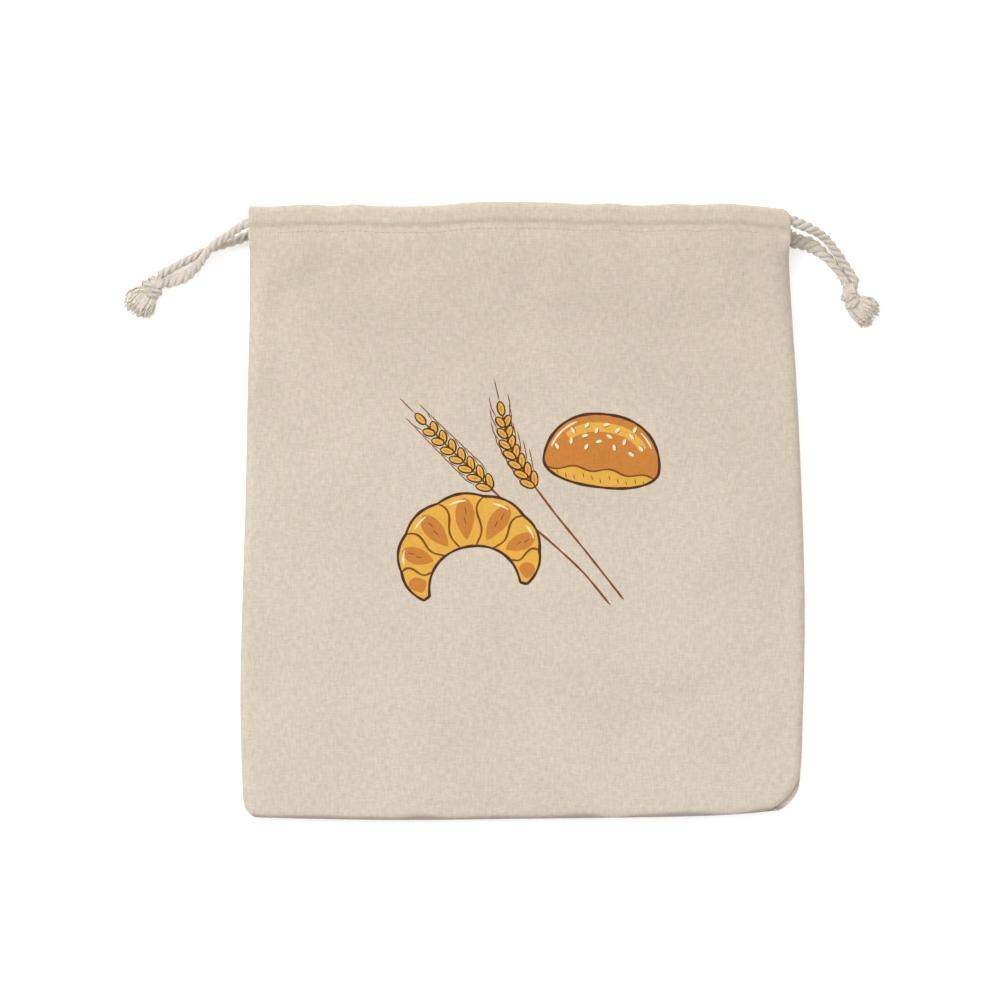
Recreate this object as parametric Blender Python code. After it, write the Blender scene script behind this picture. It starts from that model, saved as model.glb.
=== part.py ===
"""Linen drawstring bread bag, lying empty on its back.

Metres, +Z up. X runs across the bag, +Y towards its mouth. The origin is on the
surface that the bag lies on, under the middle of the bag's own box.
"""

import math
from bisect import bisect_right
from typing import NamedTuple

import bmesh
import bpy
from mathutils import Vector

MM = 0.001

# Driving sizes
CLOTH = 1.0 * MM
CORD = 4.4 * MM
CORD_ROOM = 0.6 * MM  # between a cord and the cloth or cord beside it
PIECE_GAP = 0.55 * MM  # between a cord's hidden run and its free tail
TAIL_LEAD = 2.0 * MM  # a tail leaves its heading straight for this far
SEAM_GAP = 0.8 * MM  # between the middles of the two cloths' edges at the seam
MOUTH_GAP = 4.8 * MM  # between the two headings

# One heading, measured down from the bag's top line and up from the heading's lowest face
WRAP = CORD / 2 + CORD_ROOM + CLOTH / 2  # cord centre to the middle of the cloth round it
FOLD_CENTRE = CLOTH / 2 + WRAP
LANE_HEIGHT = CLOTH / 2 + WRAP
UPPER_LANE_LEAD = 0.4 * MM  # the upper cord lies this far below the fold's centre
UPPER_LANE = FOLD_CENTRE + UPPER_LANE_LEAD
LOWER_LANE = UPPER_LANE + CORD + CORD_ROOM
STITCH_LINE = 14.0 * MM
HEM_EDGE = 17.0 * MM
BODY_START = 19.0 * MM
HEADING = 2 * WRAP + CLOTH  # thickness of one heading
FRONT_FLOOR = HEADING + MOUTH_GAP  # lowest face of the front heading
HEM_INSET = 12.8 * MM  # the turned-in layer and the back heading end this far inside the sides
SEWN_FROM, SEWN_TO = 19.0 * MM, 31.0 * MM  # the side seam closes between these, below the top line


class Edge(NamedTuple):
    """Where the bag's sides are, at one height up the bag, in millimetres."""

    y: float
    left: float
    right: float


EDGES = (
    Edge(-164.8, -148.8, 146.8),
    Edge(-138.0, -150.0, 149.0),
    Edge(-113.0, -150.7, 149.8),
    Edge(-90.0, -150.8, 150.5),
    Edge(-47.0, -149.7, 150.8),
    Edge(10.0, -148.0, 149.2),
    Edge(72.0, -146.8, 146.4),
    Edge(104.0, -145.9, 144.2),
    Edge(140.0, -145.4, 142.1),
    Edge(164.8, -145.2, 141.9),
)


class Level(NamedTuple):
    """Heights at one place up the bag, in millimetres: the front cloth's middle and the side seam,
    and how wide the rounding is that joins the front, or the back, to the seam."""

    y: float
    front: float
    seam: float
    front_round: float
    back_round: float


LEVELS = (
    Level(-164.8, 6.6, 3.4, 4.2, 3.0),
    Level(-140.0, 7.0, 3.4, 4.2, 3.0),
    Level(-60.0, 7.3, 3.4, 4.4, 3.0),
    Level(10.0, 7.4, 3.4, 4.6, 3.2),
    Level(60.0, 8.0, 3.6, 5.4, 3.8),
    Level(95.0, 9.8, 4.2, 7.2, 5.0),
    Level(120.0, 12.3, 5.0, 9.5, 6.4),
    Level(143.0, 14.6, 5.6, 11.0, 7.5),
    Level(164.8, 14.8, 5.6, 11.0, 7.5),
)

# The wavy top line and the bowed bottom line: place across, place up, in millimetres
TOP_LINE = (
    (-150.0, 162.8),
    (-133.0, 162.4),
    (-113.0, 163.4),
    (-101.0, 162.7),
    (-90.0, 163.5),
    (-77.0, 162.6),
    (-48.0, 162.7),
    (-28.0, 164.5),
    (0.0, 164.8),
    (18.0, 164.4),
    (34.0, 163.5),
    (47.0, 164.0),
    (60.0, 162.9),
    (82.0, 163.8),
    (93.0, 163.2),
    (105.0, 163.9),
    (120.0, 163.0),
    (133.0, 161.6),
    (150.0, 159.8),
)
BOTTOM_LINE = (
    (-150.0, -163.1),
    (-110.0, -164.2),
    (-60.0, -164.8),
    (0.0, -164.1),
    (60.0, -163.4),
    (110.0, -162.0),
    (150.0, -158.4),
)


class Corners(NamedTuple):
    """Radii of the corners at the left and the right."""

    left: float
    right: float


TOP_CORNERS = Corners(1.5 * MM, 5.0 * MM)
FRONT_BOTTOM_CORNERS = Corners(9.0 * MM, 23.0 * MM)
BACK_BOTTOM_CORNERS = Corners(9.0 * MM, 14.0 * MM)


class Gather(NamedTuple):
    """A soft wave where the front heading puffs up on its cords, in millimetres."""

    x: float
    half_width: float
    rise: float


GATHERS = (
    Gather(-119.0, 12.0, 0.7),
    Gather(-91.0, 10.0, 1.0),
    Gather(-58.0, 13.0, 0.5),
    Gather(-14.0, 16.0, 1.0),
    Gather(20.0, 11.0, 0.6),
    Gather(46.0, 10.0, 0.9),
    Gather(82.0, 12.0, 0.8),
    Gather(107.0, 11.0, 1.0),
)
GATHER_REACH = 75.0 * MM  # the waves run out this far below the top line


class Fold(NamedTuple):
    """A soft trough in the front cloth, from one place to another, in millimetres."""

    x0: float
    y0: float
    x1: float
    y1: float
    half_width: float
    depth: float


FOLDS = (
    Fold(-134.0, 109.0, -99.0, 134.0, 9.0, 1.1),
    Fold(-88.0, 126.0, -30.0, 140.0, 8.0, 0.9),
    Fold(-129.0, 56.0, -131.0, 96.0, 8.0, 0.6),
    Fold(84.0, 134.0, 130.0, 132.0, 8.0, 0.8),
    Fold(-6.0, 98.0, 6.0, 132.0, 8.0, 0.4),
    Fold(56.0, -118.0, 104.0, -92.0, 11.0, 0.6),
    Fold(-96.0, -128.0, -40.0, -132.0, 11.0, 0.5),
    Fold(60.0, 60.0, 128.0, 48.0, 12.0, 0.5),
    Fold(-110.0, -10.0, -60.0, 2.0, 14.0, 0.4),
)

# How finely the panels are divided
ROUND_STEPS = 3
FOLD_STEPS = 6
ARCH_STEPS = 3
FRONT_COLUMNS, FRONT_ROWS = 32, 17
BACK_COLUMNS, BACK_ROWS = 20, 10
ROW_CROWDING = 1.25  # above 1, the rows stand closer together near the heading


class Spot(NamedTuple):
    """A point that a cord's middle passes through, in millimetres."""

    x: float
    y: float
    z: float


LEFT_FRONT_ROUTE = (
    Spot(-139.5, 153.7, 16.2),
    Spot(-146.0, 153.9, 15.8),
    Spot(-155.8, 147.9, 12.2),
    Spot(-165.6, 141.4, 8.0),
    Spot(-170.4, 135.1, 5.6),
    Spot(-176.5, 128.5, 3.2),
    Spot(-182.0, 125.4, 2.5),
    Spot(-187.2, 123.5, 2.6),
    Spot(-190.8, 122.0, 3.0),
)
LEFT_BACK_ROUTE = (
    Spot(-138.5, 152.0, 3.4),
    Spot(-146.0, 147.7, 2.7),
    Spot(-157.4, 143.2, 2.5),
    Spot(-165.6, 140.8, 2.4),
    Spot(-173.8, 137.1, 2.4),
    Spot(-181.9, 132.9, 2.5),
    Spot(-190.1, 128.5, 2.7),
    Spot(-193.9, 126.1, 3.0),
)
RIGHT_FRONT_ROUTE = (
    Spot(136.0, 157.6, 16.2),
    Spot(143.4, 156.2, 15.4),
    Spot(151.7, 153.2, 12.2),
    Spot(159.1, 148.4, 8.4),
    Spot(164.9, 142.2, 5.2),
    Spot(169.6, 135.8, 3.3),
    Spot(173.8, 129.4, 2.7),
    Spot(176.8, 124.3, 2.8),
    Spot(177.6, 121.8, 3.0),
)
RIGHT_BACK_ROUTE = (
    Spot(133.0, 157.3, 3.5),
    Spot(136.7, 155.0, 2.8),
    Spot(139.2, 151.1, 2.5),
    Spot(141.4, 147.1, 2.5),
    Spot(145.4, 144.6, 2.5),
    Spot(151.0, 143.2, 2.5),
    Spot(157.3, 139.9, 2.5),
    Spot(163.7, 134.5, 2.5),
    Spot(168.8, 128.2, 2.6),
    Spot(171.6, 123.7, 2.8),
    Spot(172.3, 121.5, 3.0),
)
TAIL_STEP = 2.3 * MM  # between a twisted tail's rings
TWIST_PITCH = 13.5 * MM  # one full turn of the three strands
TWIST_DEPTH = 0.16  # how deep the grooves are, as a share of the radius
TAIL_SIDES = 12
RUN_STEP = 8.0 * MM
LOOP_STEPS = 8


class KnotRing(NamedTuple):
    """One section of a knot and its frayed end: share of the way along, half its width and half its
    height in millimetres, and how many ridges it has and how deep, as a share of its radius."""

    along: float
    across: float
    up: float
    ridges: int
    depth: float


KNOT_RINGS = (
    KnotRing(0.00, 2.8, 2.6, 2, 0.05),
    KnotRing(0.06, 4.4, 3.9, 2, 0.05),
    KnotRing(0.14, 5.1, 4.7, 2, 0.06),
    KnotRing(0.22, 4.4, 4.2, 2, 0.06),
    KnotRing(0.31, 5.3, 4.9, 2, 0.06),
    KnotRing(0.40, 4.3, 4.1, 2, 0.06),
    KnotRing(0.47, 4.9, 4.5, 2, 0.06),
    KnotRing(0.54, 3.3, 3.1, 3, 0.08),
    KnotRing(0.64, 4.0, 3.0, 5, 0.12),
    KnotRing(0.76, 5.2, 2.9, 5, 0.16),
    KnotRing(0.90, 6.3, 2.7, 5, 0.20),
    KnotRing(1.00, 5.6, 2.1, 5, 0.24),
)
KNOT_SIDES = 16
KNOT_SINK = 0.94  # share of its half-height that a knot's middle stands at, so its underside is flat
KNOT_TURN = 4.0  # a knot's ridges turn by this angle from its start to its end, in radians
LEFT_KNOT_ROUTE = (
    Spot(-193.2, 123.1, 0.0),
    Spot(-197.8, 119.5, 0.0),
    Spot(-202.0, 114.5, 0.0),
    Spot(-206.6, 107.9, 0.0),
)
RIGHT_KNOT_ROUTE = (
    Spot(174.9, 120.5, 0.0),
    Spot(174.3, 115.1, 0.0),
    Spot(177.4, 110.5, 0.0),
    Spot(186.4, 104.7, 0.0),
)
KNOT_SLICES = 50  # places along a knot's route that its sections are put at


class Finish(NamedTuple):
    """A material's name, colour and roughness."""

    name: str
    colour: tuple
    roughness: float


LINEN = Finish("linen", (0.66, 0.56, 0.44, 1.0), 0.95)
COTTON = Finish("cotton_cord", (0.66, 0.59, 0.50, 1.0), 0.95)


def clear_scene():
    for obj in list(bpy.data.objects):
        bpy.data.objects.remove(obj)


def add_piece(name, data, finish):
    """A named object with its own material."""
    made = bpy.data.materials.new(f"{name}_{finish.name}")
    made.use_nodes = True
    shader = made.node_tree.nodes["Principled BSDF"]
    shader.inputs["Base Color"].default_value = finish.colour
    shader.inputs["Roughness"].default_value = finish.roughness
    shader.inputs["Metallic"].default_value = 0.0
    data.materials.append(made)
    obj = bpy.data.objects.new(name, data)
    bpy.context.scene.collection.objects.link(obj)
    return obj


def through(rows, at):
    """Value at a place on the smooth curve through (place, value) rows, held level past its ends."""
    places = [place for place, _ in rows]
    if at <= places[0]:
        return rows[0][1]
    if at >= places[-1]:
        return rows[-1][1]
    k = bisect_right(places, at) - 1

    def slope(i):
        low = max(i - 1, 0)
        high = min(i + 1, len(rows) - 1)
        return (rows[high][1] - rows[low][1]) / (places[high] - places[low])

    step = places[k + 1] - places[k]
    t = (at - places[k]) / step
    return (
        (2 * t**3 - 3 * t**2 + 1) * rows[k][1]
        + (t**3 - 2 * t**2 + t) * step * slope(k)
        + (3 * t**2 - 2 * t**3) * rows[k + 1][1]
        + (t**3 - t**2) * step * slope(k + 1)
    )


def edge_x(side, y):
    """X of the bag's left or right side, at a height up the bag."""
    return through([(row.y, getattr(row, side)) for row in EDGES], y / MM) * MM


def level(name, y):
    """A named column of LEVELS, at a height up the bag."""
    return through([(row.y, getattr(row, name)) for row in LEVELS], y / MM) * MM


def top_line(x):
    return through(TOP_LINE, x / MM) * MM


def bottom_line(x):
    return through(BOTTOM_LINE, x / MM) * MM


TOP = top_line(0.0)
BOTTOM = bottom_line(0.0)
LEFT_END = edge_x("left", TOP) + HEM_INSET  # where the headings' tunnels end
RIGHT_END = edge_x("right", TOP) - HEM_INSET


def eased(low, high, at):
    """0 below low, 1 above high, and a smooth step between them."""
    t = min(1.0, max(0.0, (at - low) / (high - low)))
    return t * t * (3 - 2 * t)


def mixed(a, b, share):
    return a + (b - a) * share


def gather(x):
    """How far the front heading puffs up at a place across."""
    return sum(wave.rise * MM * math.exp(-(((x / MM - wave.x) / wave.half_width) ** 2)) for wave in GATHERS)


def trough(x, y):
    """How far the soft folds lower the front cloth at a place."""
    lowered = 0.0
    for fold in FOLDS:
        start = Vector((fold.x0, fold.y0))
        along = Vector((fold.x1, fold.y1)) - start
        at = Vector((x / MM, y / MM)) - start
        share = min(1.0, max(0.0, at.dot(along) / along.length_squared))
        away = (at - along * share).length / fold.half_width
        lowered += fold.depth * MM * math.exp(-away * away)
    return lowered


def corner_inset(distance, radius):
    """How far a rounded corner draws a side in, this far from the end of that side."""
    if distance >= radius:
        return 0.0
    return radius - math.sqrt(max(0.0, radius**2 - (radius - distance) ** 2))


def quarter(t):
    """(share of the width, share of the height) along the quarter ellipse from a seam to flat cloth."""
    angle = t * math.pi / 2
    return 1 - math.cos(angle), math.sin(angle)


class Station(NamedTuple):
    """One row of a heading's section: distance below the top line, height above its lowest face, and
    whether it is on the flat layer's side of the fold's crest."""

    below: float
    height: float
    flat_side: bool


def heading_section():
    """From the flat layer's lower edge, round the top fold, to the lower edge of the layer that
    arches over the cords."""
    flat = CLOTH / 2
    pressed = flat + CLOTH + SEAM_GAP
    section = [Station(below, flat, True) for below in (HEM_EDGE, STITCH_LINE, LOWER_LANE)]
    for k in range(FOLD_STEPS + 1):
        angle = math.pi * k / FOLD_STEPS
        below = FOLD_CENTRE - WRAP * math.sin(angle)
        section.append(Station(below, LANE_HEIGHT - WRAP * math.cos(angle), 2 * k < FOLD_STEPS))
    for k in range(ARCH_STEPS + 1):
        angle = math.pi / 2 * k / ARCH_STEPS
        below = LOWER_LANE + WRAP * math.sin(angle)
        section.append(Station(below, LANE_HEIGHT + WRAP * math.cos(angle), False))
    return section + [Station(below, pressed, False) for below in (STITCH_LINE, HEM_EDGE)]


def column_places(columns):
    """(side, place along it) for each column of points, left to right: each side's rounding and the
    flat middle between them."""
    left = [("left", k / ROUND_STEPS) for k in range(ROUND_STEPS)]
    middle = [("middle", k / columns) for k in range(columns + 1)]
    right = [("right", 1 - k / ROUND_STEPS) for k in range(1, ROUND_STEPS + 1)]
    return left + middle + right


def across(place, left, right, width):
    """(X, share of the flat cloth's height) of one column, in a row from left to right."""
    side, t = place
    if side == "middle":
        return mixed(left + width, right - width, t), 1.0
    inset, rise = quarter(t)
    if side == "left":
        return left + inset * width, rise
    return right - inset * width, rise


def heading_row(places, station, inset, width, floor, waves):
    """One row of a heading, lifted by this share of the gathers."""
    y = TOP - station.below
    left = edge_x("left", y) + inset + corner_inset(station.below, TOP_CORNERS.left)
    right = edge_x("right", y) - inset - corner_inset(station.below, TOP_CORNERS.right)
    row = []
    for place in places:
        x, _ = across(place, left, right, width)
        row.append(Vector((x, top_line(x) - station.below, floor + waves * gather(x) + station.height)))
    return row


def body_steps(count):
    """(share of the way down the body, place in the bottom rounding) for each row below the heading."""
    body = [((k / count) ** ROW_CROWDING, 1.0) for k in range(count)]
    return body + [(1.0, 1 - k / ROUND_STEPS) for k in range(ROUND_STEPS + 1)]


def body_y(x, share, bottom_t, width):
    """Y of a body row at one X, from below the heading to the bottom line."""
    low = bottom_line(x) + CLOTH / 2
    if bottom_t == 1.0:
        return mixed(top_line(x) - BODY_START, low + width, share)
    return low + width * quarter(bottom_t)[0]


def body_row(places, share, bottom_t, panel):
    """One row of a panel's body: flat cloth that rounds off to the seam at the sides and the bottom."""
    bottom_width = level(f"{panel}_round", BOTTOM)
    y = body_y(0.0, share, bottom_t, bottom_width)
    corners = FRONT_BOTTOM_CORNERS if panel == "front" else BACK_BOTTOM_CORNERS
    left = edge_x("left", y) + CLOTH / 2 + corner_inset(y - BOTTOM, corners.left)
    right = edge_x("right", y) - CLOTH / 2 - corner_inset(y - BOTTOM, corners.right)
    row = []
    for place in places:
        x, side_rise = across(place, left, right, level(f"{panel}_round", y))
        point_y = body_y(x, share, bottom_t, bottom_width)
        below = top_line(x) - point_y
        if panel == "front":
            flat = level("front", point_y) - trough(x, point_y)
            flat += gather(x) * (1 - eased(BODY_START, GATHER_REACH, below))
            seam = level("seam", point_y) + SEAM_GAP / 2
        else:
            flat = CLOTH / 2
            seam = level("seam", point_y) - SEAM_GAP / 2
        seam = mixed(flat, seam, eased(SEWN_FROM, SEWN_TO, below))
        row.append(Vector((x, point_y, mixed(seam, flat, side_rise * quarter(bottom_t)[1]))))
    return row


def front_rows():
    """The front cloth's middle: turned-in layer, round the top fold, outer layer, body, bottom seam."""
    places = column_places(FRONT_COLUMNS)
    width = level("front_round", TOP - BODY_START)
    rows = []
    for station in heading_section():
        inset = HEM_INSET if station.flat_side else 0.0
        rows.append(heading_row(places, station, inset, width, FRONT_FLOOR, 1.0))
    for share, bottom_t in body_steps(FRONT_ROWS):
        rows.append(body_row(places, share, bottom_t, "front"))
    return rows


def back_rows():
    """The back cloth's middle: turned-in layer, round the top fold, flat outer layer, body, seam."""
    places = column_places(BACK_COLUMNS)
    width = level("back_round", TOP - BODY_START)
    section = reversed(heading_section())
    rows = [heading_row(places, station, HEM_INSET, width, 0.0, 0.0) for station in section]
    for share, bottom_t in body_steps(BACK_ROWS):
        rows.append(body_row(places, share, bottom_t, "back"))
    return rows


def add_sheet(name, rows, finish):
    """A cloth of even thickness whose middle runs through rows of points."""
    bm = bmesh.new()
    grid = [[bm.verts.new(point) for point in row] for row in rows]
    for upper, lower in zip(grid, grid[1:]):
        for k in range(len(upper) - 1):
            bm.faces.new((upper[k], lower[k], lower[k + 1], upper[k + 1]))
    mesh = bpy.data.meshes.new(name)
    bm.to_mesh(mesh)
    bm.free()
    obj = add_piece(name, mesh, finish)
    mesh.shade_smooth()
    thickness = obj.modifiers.new("Cloth thickness", "SOLIDIFY")
    thickness.thickness = CLOTH
    thickness.offset = 0.0
    thickness.use_even_offset = True
    thickness.use_quality_normals = True
    return obj


def add_loft(name, rings, finish):
    """A closed solid through rings of points, with flat ends."""
    bm = bmesh.new()
    loops = [[bm.verts.new(point) for point in ring] for ring in rings]
    sides = len(loops[0])
    for low, high in zip(loops, loops[1:]):
        for k in range(sides):
            following = (k + 1) % sides
            bm.faces.new((low[k], low[following], high[following], high[k]))
    bm.faces.new(list(reversed(loops[0])))
    bm.faces.new(loops[-1])
    bmesh.ops.recalc_face_normals(bm, faces=bm.faces)
    mesh = bpy.data.meshes.new(name)
    bm.to_mesh(mesh)
    bm.free()
    mesh.shade_smooth()
    return add_piece(name, mesh, finish)


def spaced(points, count):
    """Evenly spaced points along one smooth curve through a route's own points."""
    lengths = [0.0]
    for start, end in zip(points, points[1:]):
        lengths.append(lengths[-1] + (end - start).length)
    axes = [[(length, point[axis]) for length, point in zip(lengths, points)] for axis in range(3)]
    return [Vector([through(axis, lengths[-1] * k / count) for axis in axes]) for k in range(count + 1)]


def framed(path):
    """(point, sideways, upwards) along a path, turned as little as possible from one to the next."""
    frames = []
    sideways = None
    for k, point in enumerate(path):
        ahead = (path[min(k + 1, len(path) - 1)] - path[max(k - 1, 0)]).normalized()
        if sideways is None:
            sideways = ahead.cross(Vector((0.0, 0.0, 1.0)))
        sideways = (sideways - ahead * sideways.dot(ahead)).normalized()
        frames.append((point, sideways, sideways.cross(ahead)))
    return frames


def lane_point(x, lane, front):
    """Middle of a cord in the front or the back heading, at a place across."""
    floor = FRONT_FLOOR + gather(x) if front else 0.0
    return Vector((x, top_line(x) - lane, floor + LANE_HEIGHT))


def add_run(name, start_x, loop_x, lane, finish):
    """The hidden length of a cord: through the front heading, round a loop past its far end, and
    back through the back heading."""
    count = round(abs(loop_x - start_x) / RUN_STEP)
    places = [mixed(start_x, loop_x, k / count) for k in range(count + 1)]
    route = [lane_point(x, lane, True) for x in places]
    top, bottom = route[-1], lane_point(loop_x, lane, False)
    radius = (top.z - bottom.z) / 2
    outwards = math.copysign(radius, loop_x - start_x)
    for k in range(1, LOOP_STEPS):
        angle = math.pi * k / LOOP_STEPS
        height = bottom.z + radius + radius * math.cos(angle)
        route.append(Vector((loop_x + outwards * math.sin(angle), top.y, height)))
    route += [lane_point(x, lane, False) for x in reversed(places)]
    curve = bpy.data.curves.new(name, "CURVE")
    curve.dimensions = "3D"
    curve.bevel_depth = CORD / 2
    curve.bevel_resolution = 2
    curve.use_fill_caps = True
    spline = curve.splines.new("POLY")
    spline.points.add(len(route) - 1)
    for point, place in zip(spline.points, route):
        point.co = (*place, 1.0)
    return add_piece(name, curve, finish)


def add_tail(name, exit_point, spots, finish):
    """The free end of a cord: three strands twisted together, from a heading's end to its knot."""
    outwards = Vector((math.copysign(1.0, spots[0].x), 0.0, 0.0))
    start = exit_point + outwards * PIECE_GAP
    points = [start, start + outwards * TAIL_LEAD] + [Vector(spot) * MM for spot in spots]
    length = sum((end - start).length for start, end in zip(points, points[1:]))
    count = round(length / TAIL_STEP)
    rings = []
    for k, (point, sideways, upwards) in enumerate(framed(spaced(points, count))):
        turned = 2 * math.pi * length * k / count / TWIST_PITCH
        ring = []
        for side in range(TAIL_SIDES):
            angle = 2 * math.pi * side / TAIL_SIDES
            radius = CORD / 2 * (1 - TWIST_DEPTH * (1 - math.cos(3 * angle)) / 2)
            across = sideways * (radius * math.cos(angle + turned))
            ring.append(point + across + upwards * (radius * math.sin(angle + turned)))
        rings.append(ring)
    return add_loft(name, rings, finish)


def add_knot(name, spots, finish):
    """Both tails wound into one knot, and their ends frayed into a flat tuft past it."""
    points = [Vector(spot) * MM for spot in spots]
    frames = framed(spaced(points, KNOT_SLICES))
    rings = []
    for row in KNOT_RINGS:
        point, sideways, _ = frames[round(row.along * KNOT_SLICES)]
        ring = []
        for side in range(KNOT_SIDES):
            angle = 2 * math.pi * side / KNOT_SIDES
            swell = (1 + row.depth * math.cos(row.ridges * angle + KNOT_TURN * row.along)) * MM
            place = point + sideways * (row.across * swell * math.cos(angle))
            height = row.up * KNOT_SINK * MM + row.up * swell * math.sin(angle)
            ring.append(Vector((place.x, place.y, max(0.0, height))))
        rings.append(ring)
    return add_loft(name, rings, finish)


def main():
    clear_scene()
    add_sheet("front_panel", front_rows(), LINEN)
    add_sheet("back_panel", back_rows(), LINEN)
    add_run("left_cord_run", LEFT_END, RIGHT_END, LOWER_LANE, COTTON)
    add_run("right_cord_run", RIGHT_END, LEFT_END, UPPER_LANE, COTTON)
    add_tail("left_tail_front", lane_point(LEFT_END, LOWER_LANE, True), LEFT_FRONT_ROUTE, COTTON)
    add_tail("left_tail_back", lane_point(LEFT_END, LOWER_LANE, False), LEFT_BACK_ROUTE, COTTON)
    add_tail("right_tail_front", lane_point(RIGHT_END, UPPER_LANE, True), RIGHT_FRONT_ROUTE, COTTON)
    add_tail("right_tail_back", lane_point(RIGHT_END, UPPER_LANE, False), RIGHT_BACK_ROUTE, COTTON)
    add_knot("left_knot", LEFT_KNOT_ROUTE, COTTON)
    add_knot("right_knot", RIGHT_KNOT_ROUTE, COTTON)


main()
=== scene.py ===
"""Looks of the linen drawstring bread bag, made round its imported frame.

X runs across the bag, +Y towards its mouth and +Z up out of its front. The shapes are worked out in
millimetres and the meshes are in metres.
"""

import logging
import math
from dataclasses import dataclass
from enum import Enum
from functools import cached_property
from typing import NamedTuple, Sequence

import bmesh
import bpy
import numpy as np
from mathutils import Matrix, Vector
from mathutils.geometry import delaunay_2d_cdt


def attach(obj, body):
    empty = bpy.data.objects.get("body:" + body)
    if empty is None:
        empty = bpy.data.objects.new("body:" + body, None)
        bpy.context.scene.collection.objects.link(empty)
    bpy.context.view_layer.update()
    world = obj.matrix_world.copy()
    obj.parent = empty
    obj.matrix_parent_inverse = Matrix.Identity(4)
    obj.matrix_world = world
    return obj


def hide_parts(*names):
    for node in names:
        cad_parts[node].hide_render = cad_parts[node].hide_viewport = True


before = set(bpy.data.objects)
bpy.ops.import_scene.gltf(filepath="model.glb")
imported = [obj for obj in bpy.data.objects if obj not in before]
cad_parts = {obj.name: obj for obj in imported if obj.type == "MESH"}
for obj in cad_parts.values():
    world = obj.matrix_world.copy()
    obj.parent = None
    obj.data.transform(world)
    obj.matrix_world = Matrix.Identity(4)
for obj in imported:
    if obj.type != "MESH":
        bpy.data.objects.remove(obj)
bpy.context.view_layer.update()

MM = 0.001
BODY = "root"
Socket = bpy.types.NodeSocket

log = logging.getLogger("bread_bag")


class Panel(Enum):
    """The two cloths of the bag."""

    FRONT = "front"
    BACK = "back"


class Side(Enum):
    """The bag's sides, with the direction outwards along X."""

    LEFT = -1
    RIGHT = 1


class Ink(Enum):
    """The inks of the print, in the order of their material slots after the bare linen."""

    OUTLINE = 1
    OCHRE = 2
    CRUST = 3
    CREAM = 4
    BROWN = 5

    @property
    def colour(self) -> tuple:
        """The ink's colour on the cloth."""
        colours = {
            Ink.OUTLINE: (0.062, 0.020, 0.008),
            Ink.OCHRE: (0.690, 0.375, 0.052),
            Ink.CRUST: (0.520, 0.190, 0.030),
            Ink.CREAM: (0.820, 0.690, 0.480),
            Ink.BROWN: (0.185, 0.062, 0.014),
        }
        return colours[self]


class Spot(NamedTuple):
    """A point that a cord's middle passes through, in millimetres."""

    x: float
    y: float
    z: float


class Edge(NamedTuple):
    """Where the bag's sides are, at one height up the bag."""

    y: float
    left: float
    right: float


class Level(NamedTuple):
    """Heights at one place up the bag: the front cloth's middle and the side seam, and how wide the
    rounding is that joins the front, or the back, to the seam."""

    y: float
    front: float
    seam: float
    front_round: float
    back_round: float


class Gather(NamedTuple):
    """A soft wave where the front heading puffs up on its cords."""

    x: float
    half_width: float
    rise: float


class Fold(NamedTuple):
    """A soft trough in the front cloth from one place to another, or a ridge if it is less than 0 deep."""

    x0: float
    y0: float
    x1: float
    y1: float
    half_width: float
    depth: float


class Corners(NamedTuple):
    """Radii of the corners at the left and the right."""

    left: float
    right: float


class Station(NamedTuple):
    """One row of a heading's section: distance below the top line, height above the heading's lowest
    face, and the share of the hem's inset that its ends have."""

    below: float
    height: float
    inset: float


def eased(low: float, high: float, at: np.ndarray | float) -> np.ndarray | float:
    """Smooth step.

    Args:
        low: place up to which the step is 0.
        high: place from which the step is 1.
        at: one place or an array of places.

    Returns:
        The step at each place.
    """
    t = np.clip((np.asarray(at) - low) / (high - low), 0.0, 1.0)
    return t * t * (3 - 2 * t)


def mixed(a: np.ndarray | float, b: np.ndarray | float, share: np.ndarray | float) -> np.ndarray | float:
    """Blend of a and b.

    Args:
        a: value at a share of 0.
        b: value at a share of 1.
        share: how far from a to b.

    Returns:
        The blended value.
    """
    return a + (b - a) * share


def unit(vectors: np.ndarray) -> np.ndarray:
    """Vectors along the last axis, each made 1 long.

    Args:
        vectors: array of vectors.

    Returns:
        An array of the same shape.
    """
    lengths = np.linalg.norm(vectors, axis=-1, keepdims=True)
    return vectors / np.maximum(lengths, 1e-12)


@dataclass(frozen=True)
class SmoothLine:
    """A smooth curve through rows of a place and its value, held level past its ends."""

    rows: tuple

    def at(self, places: np.ndarray | float) -> np.ndarray:
        """Values of the curve.

        Args:
            places: one place or an array of places.

        Returns:
            The value at each place.
        """
        knots = np.array([row[0] for row in self.rows], dtype=float)
        values = np.array([row[1] for row in self.rows], dtype=float)
        low = np.maximum(np.arange(len(knots)) - 1, 0)
        high = np.minimum(np.arange(len(knots)) + 1, len(knots) - 1)
        slopes = (values[high] - values[low]) / (knots[high] - knots[low])
        at = np.clip(np.asarray(places, dtype=float), knots[0], knots[-1])
        k = np.clip(np.searchsorted(knots, at, side="right") - 1, 0, len(knots) - 2)
        step = knots[k + 1] - knots[k]
        t = (at - knots[k]) / step
        return (
            (2 * t**3 - 3 * t**2 + 1) * values[k]
            + (t**3 - 2 * t**2 + t) * step * slopes[k]
            + (3 * t**2 - 2 * t**3) * values[k + 1]
            + (t**3 - t**2) * step * slopes[k + 1]
        )


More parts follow.
